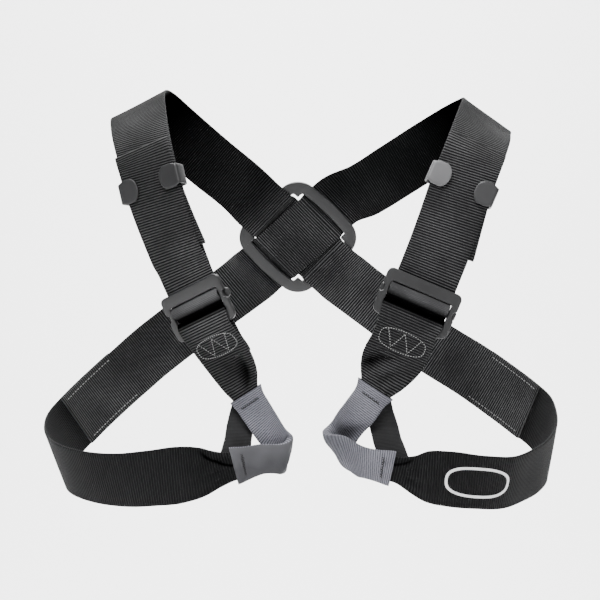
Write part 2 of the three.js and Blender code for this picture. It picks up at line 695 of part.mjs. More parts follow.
// A keeper clip: a channel behind the strap, its two ends folded over the front as round tabs.
function keeper() {
  const half = WEBBING_WIDTH / 2 + KEEPER_SIDE_ROOM;
  const rear = -WEBBING_THICK / 2 - KEEPER_ROOM;
  const front = 2 * PITCH + WEBBING_THICK / 2 + KEEPER_ROOM;
  const stub = half - 1;
  const outline = rounded(new THREE.Shape(), [
    [half + KEEPER_WALL, rear - KEEPER_WALL, KEEPER_BEND],
    [half + KEEPER_WALL, front + KEEPER_WALL, KEEPER_BEND],
    [stub, front + KEEPER_WALL, 0.01],
    [stub, front, 0.01],
    [half, front, 0.6],
    [half, rear, 0.6],
    [-half, rear, 0.6],
    [-half, front, 0.6],
    [-stub, front, 0.01],
    [-stub, front + KEEPER_WALL, 0.01],
    [-half - KEEPER_WALL, front + KEEPER_WALL, KEEPER_BEND],
    [-half - KEEPER_WALL, rear - KEEPER_WALL, KEEPER_BEND],
  ]);
  const channel = new THREE.ExtrudeGeometry(outline, {
    depth: KEEPER_LENGTH,
    bevelEnabled: false,
    curveSegments: 3,
  });
  channel.rotateX(Math.PI / 2).translate(0, KEEPER_LENGTH / 2, 0);
  const tab = rounded(new THREE.Shape(), [
    [half - 0.5, KEEPER_LENGTH / 2, 0.01],
    [half + KEEPER_WALL - KEEPER_TAB, KEEPER_LENGTH / 2, KEEPER_LENGTH / 3],
    [half + KEEPER_WALL - KEEPER_TAB, -KEEPER_LENGTH / 2, KEEPER_LENGTH / 3],
    [half - 0.5, -KEEPER_LENGTH / 2, 0.01],
  ]);
  const sheet = { depth: KEEPER_WALL, bevelEnabled: false, curveSegments: 5 };
  const right = new THREE.ExtrudeGeometry(tab, sheet).translate(0, 0, front);
  const left = right.clone().rotateZ(Math.PI);
  return joined([channel, right, left]);
}

// Gives the union of closed geometries.
function joined(pieces) {
  const solids = pieces.map((geometry) => {
    const merged = mergeVertices(geometry.clone().deleteAttribute("normal").deleteAttribute("uv"), 1e-4);
    return new solid.Manifold(
      new solid.Mesh({
        numProp: 3,
        vertProperties: merged.getAttribute("position").array,
        triVerts: Uint32Array.from(merged.getIndex().array),
      }),
    );
  });
  const mesh = solid.Manifold.union(solids).getMesh();
  const geometry = new THREE.BufferGeometry();
  geometry.setAttribute("position", new THREE.BufferAttribute(Float32Array.from(mesh.vertProperties), 3));
  geometry.setIndex(Array.from(mesh.triVerts));
  return geometry;
}

const parts = new THREE.Group();

function add(name, geometry, material, matrix) {
  const mesh = new THREE.Mesh(geometry, material);
  mesh.name = name;
  if (matrix) mesh.applyMatrix4(matrix);
  parts.add(mesh);
}

add("back_ring", backRing(), darkMetal, ring.matrix);

// The left strap passes in front of the ring's bars and goes under the right arm; the right one
// passes behind them and goes under the left arm.
const folds = { left: eyeFold(EYE_LEFT, 1), right: eyeFold(EYE_RIGHT, -1) };
const straps = {
  left: { over: OVER_LEFT, under: UNDER_RIGHT, along: ringDown, side: 1, to: "right" },
  right: { over: OVER_RIGHT, under: UNDER_LEFT, along: ringBack, side: -1, to: "left" },
};
const ribs = {};

for (const [name, own] of Object.entries(straps)) {
  const frame = buckleFrame(own.over);
  const below = [-2 * TOP_BAR, -TOP_BAR / 2 - 0.6].map((y) => station(frame.spot(0, y, -STACK), frame.x));
  const crossing = throughRing(own.along, own.side);
  const over = route(own.over, below, crossing.slice(0, 2));
  const under = route(own.under, crossing.slice(-2), folds[own.to].slice(0, 2));
  const seam = SEAM[own.to];
  const inside = lifted(
    between(under, 0, seam),
    (length) => -LAP_PITCH * ease(length, seam - OVERLAP - LAP_EASE, seam - OVERLAP - 2),
  );
  const slider = roundSlider(frame).reverse();
  ribs[own.to] = between(under, seam - OVERLAP, lengthOf(under));
  const spare = spareStrap(over, FOLD_TURN[name]);
  const whole = [...spare, ...slider, ...over, ...crossing, ...inside];
  add(`${name}_shoulder_strap`, strip(whole), cloth);
  add(`${name}_buckle_frame`, bucklePlate(), darkMetal, frame.matrix);
  add(`${name}_buckle_slider`, buckleSlider(), darkMetal, frame.matrix);
  const held = between(over, KEEPER_RISE[name], 2 * KEEPER_RISE[name]);
  const z = face(held, 1);
  const x = held[0].ruling.clone().applyAxisAngle(z, KEEPER_TURN[name] * RADIAN);
  const matrix = new THREE.Matrix4().makeBasis(x, z.clone().cross(x), z).setPosition(held[0].at);
  add(`${name}_keeper`, keeper(), brightMetal, matrix);
}

const chest = {
  left: { over: OVER_LEFT, rise: RISE_LEFT, eye: EYE_LEFT, link: LINK_LEFT },
  right: { over: OVER_RIGHT, rise: RISE_RIGHT, eye: EYE_RIGHT, link: LINK_RIGHT },
};

for (const [name, own] of Object.entries(chest)) {
  const frame = buckleFrame(own.over);
  const fold = folds[name];
  const bar = roundLowerBar(frame, frame.x.clone().negate());
  const rise = route(own.rise, fold.slice(-2), bar.slice(0, 2));
  const tall = lengthOf(rise);
  const behind = lifted(
    between(rise, tall - SEWN_END, tall),
    (length) => PITCH + BUCKLE_THICK * ease(length, SEWN_END - 16, SEWN_END),
  );
  const band = [...ribs[name], ...fold, ...rise, ...bar, ...behind.reverse()];
  add(`${name}_chest_band`, strip(band, { cells: 2 }), cloth);
  const low = lengthOf(ribs[name]);
  const inside = [
    ...between(ribs[name], low - own.eye.lower, low),
    ...fold,
    ...between(rise, 0, own.eye.upper),
  ];
  add(`${name}_sleeve`, sleeve(inside), sleeveCloth);
  const link = own.link.map((row) => station(placeOf(row), heading(row.turn, row.tip), row));
  add(`${name}_link`, strip(link), cloth);
}

export default parts;
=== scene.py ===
"""Climbing chest harness in its worn form: webbing, sleeves, metal and stitching, in the part's frame.

Lengths are worked out in millimetres and written to the meshes in metres. Webbing is a run of
stations. A station is a place on the middle line, a unit ruling line across the webbing, and shares
of its width and thickness. The face direction is ruling x travel.
"""

import math

import bpy
import numpy as np
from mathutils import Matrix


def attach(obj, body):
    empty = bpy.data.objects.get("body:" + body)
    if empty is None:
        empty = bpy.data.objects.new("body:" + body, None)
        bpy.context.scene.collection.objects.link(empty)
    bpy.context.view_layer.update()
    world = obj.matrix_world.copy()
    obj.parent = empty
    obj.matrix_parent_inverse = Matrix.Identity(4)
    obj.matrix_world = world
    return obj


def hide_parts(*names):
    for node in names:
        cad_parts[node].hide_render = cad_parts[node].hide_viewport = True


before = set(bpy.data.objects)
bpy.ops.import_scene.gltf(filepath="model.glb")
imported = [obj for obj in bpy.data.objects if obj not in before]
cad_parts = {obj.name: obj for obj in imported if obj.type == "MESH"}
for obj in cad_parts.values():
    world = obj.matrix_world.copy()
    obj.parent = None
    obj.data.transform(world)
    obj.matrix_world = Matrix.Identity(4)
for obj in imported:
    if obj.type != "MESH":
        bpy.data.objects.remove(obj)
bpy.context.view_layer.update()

MM = 0.001
# Sizes and angles of the solids, in millimetres and degrees, and the number of points of the ring's loops
WIDTH, THICK, GAP = 45.0, 1.8, 0.3
PITCH = THICK + GAP
LAP_PITCH = PITCH + 0.35
HALF_SIZE = np.array([195.0, 90.0, -295.0])
RING_SIZE, RING_BAR, RING_THICK, RING_CORNER, RING_BOW = 78.5, 9.5, 3.0, 18.5, 1.6
RING_TURN, RING_LEAN, CROSS_TURN, CROSS_ROOM = 45, 22, 43, 1.2
RING_PLACE, RING_BEVEL, RING_STEPS = (-0.009, 0.98, 0.315), 0.9, 320
PLATE, PLATE_BEVEL, LEG, LEG_NOTCH, NOTCH_EASE, TOP_BAR, LOWER_BAR = 3.0, 0.8, 5.5, 2.4, 1.5, 9.0, 8.0
SLIDER_BAR, SLIDER_THICK, SLIDER_DROP, WINDOW, TURN_SHIFT = 7.0, 3.0, 11.4, 18.0, 0.4
SLOT_HALF, SLOT_CORNER, TOOTH_CORNER = 24.6, 1.8, 0.9
TAIL_RISE, RETURN_END, RETURN_EASE, RETURN_SHIFT, FOLD_EASE = 115.0, 33.0, 12.0, 8.0, 17.0
FOLD_TURN = {"left": 8, "right": -8}
KEEPER_LENGTH, KEEPER_WALL, KEEPER_TAB, KEEPER_BEND = 18.0, 1.5, 16.5, 2.2
KEEPER_ROOM, KEEPER_SIDE = 1.3, 2.2
KEEPER_TURN = {"left": 4, "right": -6}
KEEPER_RISE = {"left": 86.5, "right": 82.5}
SLEEVE_WALL, SLEEVE_ROOM, SLEEVE_EASE, SLEEVE_FLARE, EYE_RADIUS = 1.2, 0.42, 0.5, 1.3, 4.6
EYE_SHARES = (0.37, 2)
SEWN_END, OVERLAP, LAP_EASE, SEAM = 26.0, 62.0, 30.0, 206.0
STACK = PLATE / 2 + GAP + THICK + GAP + THICK / 2
PLATE_WIDTH = WIDTH + 2 * (LEG + 1)
EDGE_EASE = 0.6
LOWER_EDGE, UNDER_TOP = -TOP_BAR / 2 - WINDOW, -TOP_BAR / 2 - EDGE_EASE

# Cloth as it shows: the webbing's bulge over a slider and the power of its half sine, how much taller a
# band's fold stands than a half circle, and the width share of pressed webbing in the ring and over a slider
ROLL, ROLL_POWER, FOLD_TALL, SPREAD, ROLL_SPREAD = 3.2, 0.7, 2.8, 1.04, 1.03
# Stations of a half turn and of the roll over a slider's front, and millimetres of a sleeve's cloth that one
# radian round it takes up
HALF_TURN, ROLL_FRONT, CLOTH_ROUND = 17, 8, 9.0

# Stitches: a stadium's half length and half width, a zigzag's half length, the laps' lines from the middle,
# and a bar tack's half length, which is its distance from the sleeve's end too. Then lift, pitch and share
# of thread for the fine rows and for the bar tacks, and the threads' radii.
STADIUM, ZIGZAG, LAP_LINE, TACK = (17.5, 8.0), 13.0, 18.5, 7.5
FINE_ROW, TACK_ROW = (0.12, 1.9, 0.7), (SLEEVE_ROOM + SLEEVE_WALL, 1.35, 0.95)
PALE_RADIUS, DARK_RADIUS = 0.34, 0.36

# The print: its half sizes, its line's width, and how far before the fold its middle lies on the band
PRINT_HALF, PRINT_LINE, PRINT_BACK = (26.5, 12.8), 2.1, 100.5

# The camera's distance and level in metres and its lens, fitted to the photograph
DISTANCE, LEVEL, LENS = 1.5043, -0.144, 116.9

# Rows of the middle lines: across, back and down as shares of half the chest's width and depth and of
# the drop, the ruling line's turn in the front view and its tip, then width, thickness and cup shares.
OVER_LEFT = [
    (-0.394, -0.988, 0.465, 25.5, -35), (-0.446, -0.985, 0.383, 19, -32),
    (-0.493, -0.967, 0.303, 16, -29), (-0.534, -0.933, 0.229, 15, -27),
    (-0.573, -0.86, 0.15, 14, -25), (-0.6, -0.735, 0.086, 14, -21),
    (-0.622, -0.5, 0.024, 18, -13), (-0.631, -0.27, -0.01, 24, -6),
    (-0.622, -0.06, -0.02, 29, -4), (-0.59, 0.14, -0.01, 35, -8),
    (-0.532, 0.35, 0.022, 42, -12), (-0.37, 0.66, 0.112, 49, -10),
    (-0.228, 0.82, 0.188, 49, -9),
]
OVER_RIGHT = [
    (0.462, -0.978, 0.456, -23, 0), (0.507, -0.978, 0.382, -20, 0),
    (0.554, -0.967, 0.298, -18, 0), (0.599, -0.945, 0.213, -18, 0),
    (0.647, -0.88, 0.136, -18, 1), (0.685, -0.72, 0.076, -21, 3),
    (0.715, -0.44, 0.03, -31, 6), (0.73, -0.18, 0.01, -36, 8),
    (0.71, 0.06, 0.014, -42, 8), (0.63, 0.3, 0.042, -52, 4),
    (0.495, 0.53, 0.094, -58, 2), (0.387, 0.67, 0.138, -59, 2),
    (0.27, 0.79, 0.185, -55, 8),
]
UNDER_RIGHT = [
    (0.24, 0.985, 0.457, 48, -6), (0.348, 1.01, 0.51, 51, -6), (0.572, 0.975, 0.623, 56, -6),
    (0.719, 0.865, 0.683, 58, -6), (0.837, 0.701, 0.739, 61, -8), (0.916, 0.511, 0.78, 66, -9),
    (0.968, 0.311, 0.812, 73, -11), (0.994, 0.089, 0.851, 80, -13),
    (0.985, -0.156, 0.886, 82, -15), (0.94, -0.378, 0.912, 80, -18),
    (0.873, -0.578, 0.93, 79, -22), (0.785, -0.778, 0.944, 82, -27),
    (0.679, -0.911, 0.94, 86, -27), (0.56, -0.985, 0.93, 87, -24, 1, 1, 0.02),
    (0.463, -1.03, 0.921, 86, -20, 0.86, 1.2, 0.04),
    (0.415, -1.045, 0.915, 80, -14, 0.62, 1.7), (0.38, -1.052, 0.908, 76, -8, 0.47, 2),
    (0.29, -1.055, 0.895, 84, -6, 0.41, 2), (0.215, -1.055, 0.882, 97, 0, 0.38, 2),
]
UNDER_LEFT = [
    (-0.25, 0.985, 0.448, -49, 8), (-0.352, 1.01, 0.497, -53, 8), (-0.523, 0.975, 0.58, -52, 10),
    (-0.643, 0.86, 0.644, -52, 14), (-0.79, 0.667, 0.731, -53, 18), (-0.889, 0.467, 0.797, -56, 19),
    (-0.95, 0.244, 0.846, -61, 18), (-0.964, 0, 0.879, -67, 17), (-0.946, -0.267, 0.905, -72, 19),
    (-0.896, -0.511, 0.919, -75, 22), (-0.791, -0.733, 0.932, -77, 24),
    (-0.657, -0.889, 0.935, -80, 24), (-0.552, -0.967, 0.928, -84, 22),
    (-0.45, -1.015, 0.919, -86, 20, 1, 1, 0.02), (-0.365, -1.035, 0.91, -81, 16, 0.84, 1.2, 0.03),
    (-0.315, -1.045, 0.904, -75, 10, 0.62, 1.7), (-0.27, -1.052, 0.899, -74, 4, 0.49, 2),
    (-0.19, -1.055, 0.887, -80, 2, 0.42, 2), (-0.125, -1.055, 0.876, -98, 0, 0.38, 2),
]
RISE_LEFT = [
    (-0.092, -0.95, 0.832, -120, 0, 0.38, 2), (-0.122, -0.945, 0.804, -134, 2, 0.4, 2),
    (-0.16, -0.945, 0.766, -144, 6, 0.42, 2), (-0.201, -0.955, 0.722, -147, 14, 0.47, 2),
    (-0.226, -0.975, 0.685, -152, 22, 0.7, 1.5), (-0.267, -1.003, 0.637, -155, 28, 0.88, 1.1, 0.01),
    (-0.314, -1.03, 0.594, -155, 34, 0.96),
]
RISE_RIGHT = [
    (0.17, -0.945, 0.806, 130, -2, 0.42, 2), (0.222, -0.95, 0.765, 142, -6, 0.47, 2),
    (0.276, -0.96, 0.713, 146, -8, 0.52, 2), (0.304, -0.976, 0.682, 151, -8, 0.78, 1.4),
    (0.336, -0.998, 0.646, 157, -4, 0.97, 1, 0.02), (0.376, -1.022, 0.598, 157, 0),
]
LINK_LEFT = [
    (-0.201, -0.85, 0.735, 180, -8, 0.42), (-0.212, -0.86, 0.766, 180, -6, 0.44),
    (-0.225, -0.883, 0.803, 180, -4, 0.44), (-0.232, -0.92, 0.834, 178, -2, 0.44),
    (-0.235, -0.962, 0.863, 176, 0, 0.46), (-0.238, -0.993, 0.897, 176, 0, 0.46),
]
LINK_RIGHT = [
    (0.292, -0.876, 0.735, 180, 6, 0.42), (0.3, -0.877, 0.766, 180, 4, 0.44),
    (0.315, -0.883, 0.803, 182, 2, 0.46), (0.326, -0.92, 0.834, 184, 0, 0.46),
    (0.331, -0.962, 0.863, 186, 0, 0.46), (0.332, -0.993, 0.897, 186, 0, 0.46),
]
EYE_LEFT = {"place": (-0.07, -1, 0.865), "turn": -107, "slant": 60, "lower": 32, "upper": 46}
EYE_RIGHT = {"place": (0.16, -1, 0.847), "turn": 109, "slant": 58, "lower": 35, "upper": 44}

# A run of stations is an array with these columns: place, ruling line, width, thickness and cup shares
AT, RULING, WIDE, DEEP, CUP = slice(0, 3), slice(3, 6), 6, 7, 8


def heading(turn, tip):
    """Unit vectors of angles in the front view and away from it:
    (cos tip cos turn, sin tip, cos tip sin turn)."""
    turn, tip = np.radians(turn), np.radians(tip)
    return np.stack([np.cos(tip) * np.cos(turn), np.sin(tip), np.cos(tip) * np.sin(turn)], -1)


def unit(v):
    """Vectors divided by their lengths."""
    return v / np.linalg.norm(v, axis=-1, keepdims=True)


def spin(v, axis, degrees):
    """v turned about a unit axis: v cos a + (axis x v) sin a + axis (axis . v)(1 - cos a)."""
    a = math.radians(degrees)
    return v * math.cos(a) + np.cross(axis, v) * math.sin(a) + axis * (v @ axis) * (1 - math.cos(a))


def smooth(value, start, end):
    """0 before start, 1 after end, t t (3 - 2 t) between."""
    t = np.clip((value - start) / (end - start), 0, 1)
    return t * t * (3 - 2 * t)


def bell(off, reach):
    """1 at the middle, exp of minus the square of off / reach beside it."""
    return np.exp(-(off / reach) ** 2)


def signed_power(value, power):
    """The size to a power, with the value's own sign."""
    return np.sign(value) * np.abs(value) ** power


def lengths(points):
    """Length along a line up to each of its points: running sum of the distances."""
    return np.append(0, np.cumsum(np.linalg.norm(np.diff(points, axis=0), axis=1)))


def place(row):
    """A row's shares times half the chest's size."""
    return np.array(row[:3], float) * HALF_SIZE


def full(row):
    """A row with the shares that it leaves out: 1, 1 and 0."""
    return tuple(row) + (1, 1, 0)[len(row) - 5:]


def stations(at, ruling, wide=1.0, deep=1.0, cup=0.0):
    """A run of stations from places and rulings, each given once or per station."""
    at = np.atleast_2d(at)
    run = np.zeros((len(at), 9))
    run[:, AT], run[:, RULING] = at, ruling
    run[:, WIDE], run[:, DEEP], run[:, CUP] = wide, deep, cup
    return run


def arc(run):
    """Length along a run up to each station."""
    return lengths(run[:, AT])


def travel(run):
    """Direction of travel: unit difference of the two neighbours."""
    at = np.vstack([run[:1, AT], run[:, AT], run[-1:, AT]])
    return unit(at[2:] - at[:-2])


def face(run):
    """Outward direction: unit(ruling x travel)."""
    return unit(np.cross(run[:, RULING], travel(run)))


def slant(run):
    """Sine of the angle between ruling line and travel, by which webbing is wider along a slanted ruling."""
    return np.linalg.norm(np.cross(run[:, RULING], travel(run)), axis=1)


def lifted(run, height):
    """The run moved along its face by height, a number or one for each station."""
    out = run.copy()
    out[:, AT] += face(run) * np.reshape(height, (-1, 1))
    return out


def sampled(run, where):
    """The run read at arc lengths, linear between stations, rulings made unit again."""
    length = arc(run)
    out = np.stack([np.interp(where, length, run[:, k]) for k in range(9)], 1)
    out[:, RULING] = unit(out[:, RULING])
    return out


def between(run, start, end=None, step=2.0):
    """The part of a run from one arc length to another or to its end, sampled evenly about a step apart."""
    end = arc(run)[-1] if end is None else min(end, arc(run)[-1])
    return sampled(run, np.linspace(start, end, max(2, int(round((end - start) / step)) + 1)))


def softened(run, start, end, step=1.5, spread=4.6, fade=8.0):
    """A run read every step, its columns between two arc lengths averaged with Gaussian weights. The
    averaging fades in before start and out after end."""
    whole = arc(run)[-1]
    where = np.linspace(0, whole, int(whole / step) + 1)
    out = sampled(run, where)
    weight = np.exp(-((where[:, None] - where[None]) / spread) ** 2 / 2)
    mean = (weight / weight.sum(1, keepdims=True)) @ out
    share = smooth(where, start - fade, start) * (1 - smooth(where, end, end + fade))
    out += (mean - out) * share[:, None]
    out[:, RULING] = unit(out[:, RULING])
    return out


def join(*runs):
    """Runs one after another."""
    return np.vstack(runs)


def route(rows, before, after, step=2.0):
    """Hermite curve through rows against chord length. Each column's slope at a row is the weighted mean of
    the slopes on its two sides, and the pairs of stations before and after steer the two ends."""
    def guide(run, near):
        """Two stations as rows of columns, their turn within half a turn of near."""
        turn = np.degrees(np.arctan2(run[:, 5], run[:, 3]))
        turn += 360 * np.round((near - turn) / 360)
        tip = np.degrees(np.arcsin(np.clip(run[:, 4], -1, 1)))
        return np.column_stack([run[:, AT], turn, tip, run[:, WIDE:]])

    own = np.array([[*place(r), *full(r)[3:]] for r in rows])
    col = np.vstack([guide(before, own[0, 3]), own, guide(after, own[-1, 3])])
    span = np.diff(lengths(col[:, :3]))[:, None]
    rise = np.diff(col, axis=0) / span
    slope = np.zeros_like(col)
    slope[1:-1] = (rise[1:] * span[:-1] + rise[:-1] * span[1:]) / (span[:-1] + span[1:])
    out = []
    for i in range(1, len(col) - 2):
        count = max(2, int(round(span[i, 0] / step)))
        t = (np.arange(count) / count)[:, None]
        held = col[i] * (1 + 2 * t) * (1 - t) ** 2 + col[i + 1] * t * t * (3 - 2 * t)
        out.append(held + (slope[i] * t * (1 - t) ** 2 + slope[i + 1] * t * t * (t - 1)) * span[i])
    value = np.vstack(out)[1:]
    return np.column_stack([value[:, :3], heading(value[:, 3], value[:, 4]), value[:, 5:]])


class Place:
    """Three directions at a place: x along the bars, y up the strap, z to the outside."""

    def __init__(self, at, turn, tip, lean=0.0):
        self.at = np.array(at, float)
        self.x = heading(turn, tip)
        level = np.array([-math.sin(math.radians(turn)), 0, math.cos(math.radians(turn))])
        self.y = spin(level, self.x, lean)
        self.z = np.cross(self.x, self.y)

    def spot(self, xyz):
        """at + x X + y Y + z Z for rows of X, Y, Z."""
        xyz = np.asarray(xyz, float)
        return self.at + xyz[..., 0:1] * self.x + xyz[..., 1:2] * self.y + xyz[..., 2:3] * self.z


def turned_place(at, x, z):
    """A place by its directions x and z: y is z x x."""
    spot = Place(at, 0, 0)
    spot.x, spot.y, spot.z = x, np.cross(z, x), z
    return spot


def buckle_place(rows):
    """The place of a buckle: its plate lies one stack outside the strap's first row."""
    base = Place(place(rows[0]), rows[0][3], rows[0][4])
    return Place(base.spot([0, 0, STACK]), rows[0][3], rows[0][4])


ring = Place(place(RING_PLACE), 0, 0, RING_LEAN)
RING_DOWN = spin(ring.x, ring.z, -CROSS_TURN)
RING_BACK = -spin(ring.x, ring.z, CROSS_TURN)


def through_ring(along, side):
    """A strap through the ring, to 1.5 mm past its plate: height over the ring's middle plane is side x the
    bar lift beyond the bars' inner edges and minus half a pitch within the other strap, with a smooth step
    between."""
    outer = RING_SIZE / 2 + RING_BOW + 1.5
    inner = RING_SIZE / 2 - RING_BAR - GAP
    middle = (WIDTH + THICK) / 2 + CROSS_ROOM
    lift = (RING_THICK + THICK) / 2 + GAP
    half = np.concatenate([np.linspace(0, middle, 9), np.linspace(middle, inner, 9)[1:],
                           np.linspace(inner, outer, 6)[1:]])
    t = np.concatenate([-half[:0:-1], half])
    share = smooth(np.abs(t), middle, inner)
    height = side * (share * lift - (1 - share) * PITCH / 2)
    at = ring.at + t[:, None] * along + height[:, None] * ring.z
    return stations(at, np.cross(ring.z, along), SPREAD)


def round_slider(buckle):
    """From the tail layer over the slider's front, where the webbing bulges by a power of a half sine, and
    a half turn round its lower edge to the base layer: middle - r cos a deep, r sin a down."""
    off = GAP + THICK / 2
    front = -PLATE / 2 - GAP + off
    back = -PLATE / 2 - GAP - SLIDER_THICK - off
    radius, middle = (front - back) / 2, (front + back) / 2
    turn_at = -SLIDER_DROP - SLIDER_BAR / 2 + SLIDER_THICK / 2 - TURN_SHIFT
    shoulder = -SLIDER_DROP + SLIDER_BAR / 2 + EDGE_EASE
    begin = shoulder + 1.4
    a = np.linspace(math.pi, 0, HALF_TURN)
    turn = np.column_stack([0 * a, turn_at - radius * np.sin(a), middle - radius * np.cos(a)])
    t = np.arange(ROLL_FRONT) / ROLL_FRONT
    roll = np.column_stack([0 * t, begin + (turn_at - begin) * t,
                            front + ROLL * np.sin(math.pi * t) ** ROLL_POWER])
    top = np.array([[0, UNDER_TOP, PITCH - STACK]])
    tail = np.array([[0, shoulder, back], [0, UNDER_TOP, -STACK]])
    return stations(buckle.spot(np.vstack([top, roll, turn, tail])), buckle.x, ROLL_SPREAD)


def round_lower_bar(buckle):
    """Front layer of the chest band, half an ellipse over the lower bar's upper edge, and its back layer."""
    radius = PLATE / 2 + GAP + THICK / 2
    turn_at = LOWER_EDGE - PLATE / 2 + TURN_SHIFT
    foot = LOWER_EDGE - LOWER_BAR
    a = np.linspace(0, math.pi, HALF_TURN)
    turn = np.column_stack([0 * a, turn_at + (radius + FOLD_TALL) * np.sin(a), radius * np.cos(a)])
    line = np.vstack([[0, foot + 1, radius], turn, [0, foot + 1, -radius]])
    return stations(buckle.spot(line), -buckle.x, [1, *[SPREAD] * HALF_TURN, 1])


def eye_fold(eye, inward):
    """Half turn round a slanting line: centre + out r sin a + line r a / tan slant - y r cos a."""
    line = heading(eye["turn"], 0)
    out = unit(np.array([inward, 0, 0]) - line * inward * line[0])
    a = np.linspace(0, math.pi, HALF_TURN)[:, None]
    up = line * np.sign(line[2])
    rise = EYE_RADIUS / math.tan(math.radians(eye["slant"]))
    at = place(eye["place"]) + out * EYE_RADIUS * np.sin(a) + up * rise * (a - math.pi / 2)
    at[:, 1] -= EYE_RADIUS * np.cos(a[:, 0])
    return stations(at, line, *EYE_SHARES)


def spare_strap(front, turn):
    """The tail in front of a shoulder strap: its end, up under the tail to the top fold, whose line is
    turned by a few degrees, and down again. The layer under the tail drifts aside by a square law."""
    under = between(front, 0, TAIL_RISE)
    length = arc(under)
    angles = turn * smooth(length, TAIL_RISE - FOLD_EASE, TAIL_RISE)
    under[:, RULING] = [spin(r, n, t) for r, n, t in zip(under[:, RULING], face(under), angles)]
    out, up = face(under)[-1], travel(under)[-1]
    a = np.linspace(0, math.pi, 9)[1:-1, None]
    top = np.repeat(under[-1:], len(a), 0)
    top[:, AT] += out * PITCH * (1.5 - np.cos(a) / 2) + up * PITCH / 2 * np.sin(a)
    back = lifted(under, PITCH)
    back[:, AT] += back[:, RULING] * (RETURN_SHIFT * (1 - length / length[-1]) ** 2)[:, None]
    tail = lifted(under, PITCH * (1 + smooth(length, RETURN_END - RETURN_EASE, RETURN_END - 1)))
    return join(between(back, RETURN_END), top, tail[::-1])


def linked(name, data):
    """An object with this data, in the scene."""
    obj = bpy.data.objects.new(name, data)
    bpy.context.scene.collection.objects.link(obj)
    return obj


def mesh_object(name, verts, faces, slots, uv=None, smooth_faces=True, replaces=(),
                painted_shade=None, marks=None):
    """A piece from points in millimetres, faces and materials, riding on the part's one body. Its shade
    shares give each point's share of painted shade, the dark of cloth in a fold or turned from the light,
    and marks gives each face's material."""
    mesh = bpy.data.meshes.new(name)
    mesh.from_pydata((np.asarray(verts) * MM).tolist(), [], [list(map(int, f)) for f in faces])
    if uv is not None:
        layer = mesh.uv_layers.new(name="cloth")
        corner = np.zeros(len(mesh.loops), int)
        mesh.loops.foreach_get("vertex_index", corner)
        layer.data.foreach_set("uv", (np.asarray(uv)[corner] * MM).ravel())
    # Painted shade: each point's share, which the cloth materials read
    if painted_shade is not None:
        mesh.attributes.new("painted_shade", "FLOAT", "POINT").data.foreach_set("value", np.ravel(painted_shade))
    mesh.polygons.foreach_set("use_smooth", np.full(len(mesh.polygons), smooth_faces))
    for m in slots:
        mesh.materials.append(m)
    if marks is not None:
        mesh.polygons.foreach_set("material_index", np.ravel(marks).astype(int))
    mesh.update()
    obj = linked(name, mesh)
    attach(obj, "root")
    if replaces:
        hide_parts(*replaces)


def grid_faces(rows, cols, wrap_rows=False):
    """Quads of a grid that closes on itself across, and along too if wrap_rows."""
    last = rows if wrap_rows else rows - 1
    i, j = np.meshgrid(np.arange(last), np.arange(cols), indexing="ij")
    i, j = i.ravel(), j.ravel()
    n, k = (i + 1) % rows, (j + 1) % cols
    return np.stack([i * cols + j, i * cols + k, n * cols + k, n * cols + j], 1)


def tube_faces(rows, cols):
    """Quads of a grid that closes on itself across, and one face over each of its two ends."""
    ends = [list(range(cols))[::-1], [(rows - 1) * cols + j for j in range(cols)]]
    return [list(f) for f in grid_faces(rows, cols)] + ends


def section(cells, edge=4):
    """Outline of webbing's section: across u from -1 to 1, face side 1 to -1, round edges by cosines."""
    u = np.linspace(-1, 1, cells + 1)
    a = np.linspace(math.pi / 2, -math.pi / 2, edge + 1)[1:-1]
    face_u = np.concatenate([u, 1 + 0 * a, u[::-1], -1 + 0 * a])
    side = np.concatenate([1 + 0 * u, np.sin(a), -1 + 0 * u, -np.sin(a)])
    bulge = np.concatenate([0 * u, np.cos(a), 0 * u, -np.cos(a)])
    return face_u, side, bulge


def strip_points(run, width, thick, cells, relief):
    """place + ruling (u w/2) / slant + face (side t/2 + cup (1 - u u) + relief), edges rounded by t/3."""
    u, side, bulge = section(cells)
    length = arc(run)
    half = run[:, WIDE] * width / 2
    round_by = np.minimum(run[:, DEEP] * thick / 3, half / 4)
    lean = (u[None] * (half - round_by)[:, None] + bulge[None] * round_by[:, None]) / slant(run)[:, None]
    rise = side[None] * (run[:, DEEP] * thick / 2)[:, None]
    rise = rise + (run[:, CUP] * width)[:, None] * (1 - u ** 2)[None]
    if relief is not None:
        rise = rise + relief(length[:, None], u[None], run[:, WIDE][:, None])
    points = run[:, None, AT] + run[:, None, RULING] * lean[..., None] + face(run)[:, None] * rise[..., None]
    uv = np.stack([np.broadcast_to(u[None] * width / 2, rise.shape),
                   np.broadcast_to(length[:, None], rise.shape)], -1)
    return points, uv


def strip(name, run, slots, replaces, marks=None, dark=None, relief=None,
          width=WIDTH, thick=THICK, cells=16):
    """A closed strip of webbing, its two ends drawn in a little and closed by one face each. Marks gives
    each station's material, and dark works out each point's share of painted shade from length, across and
    side."""
    points, uv = strip_points(run, width, thick, cells, relief)
    rows, cols = points.shape[:2]
    middle = points.mean(1, keepdims=True)
    pull = np.ones((rows, 1, 1))
    pull[[0, -1]] = 0.985
    points = middle + (points - middle) * pull
    if dark is not None:
        u, side, _ = section(cells)
        dark = np.broadcast_to(dark(arc(run)[:, None], u[None], side[None]), (rows, cols))
    if marks is not None:
        marks = np.append(np.repeat(marks[:-1], cols), [marks[0], marks[-1]])
    mesh_object(name, points.reshape(-1, 3), tube_faces(rows, cols), slots, uv.reshape(-1, 2),
                replaces=replaces, painted_shade=dark, marks=marks)


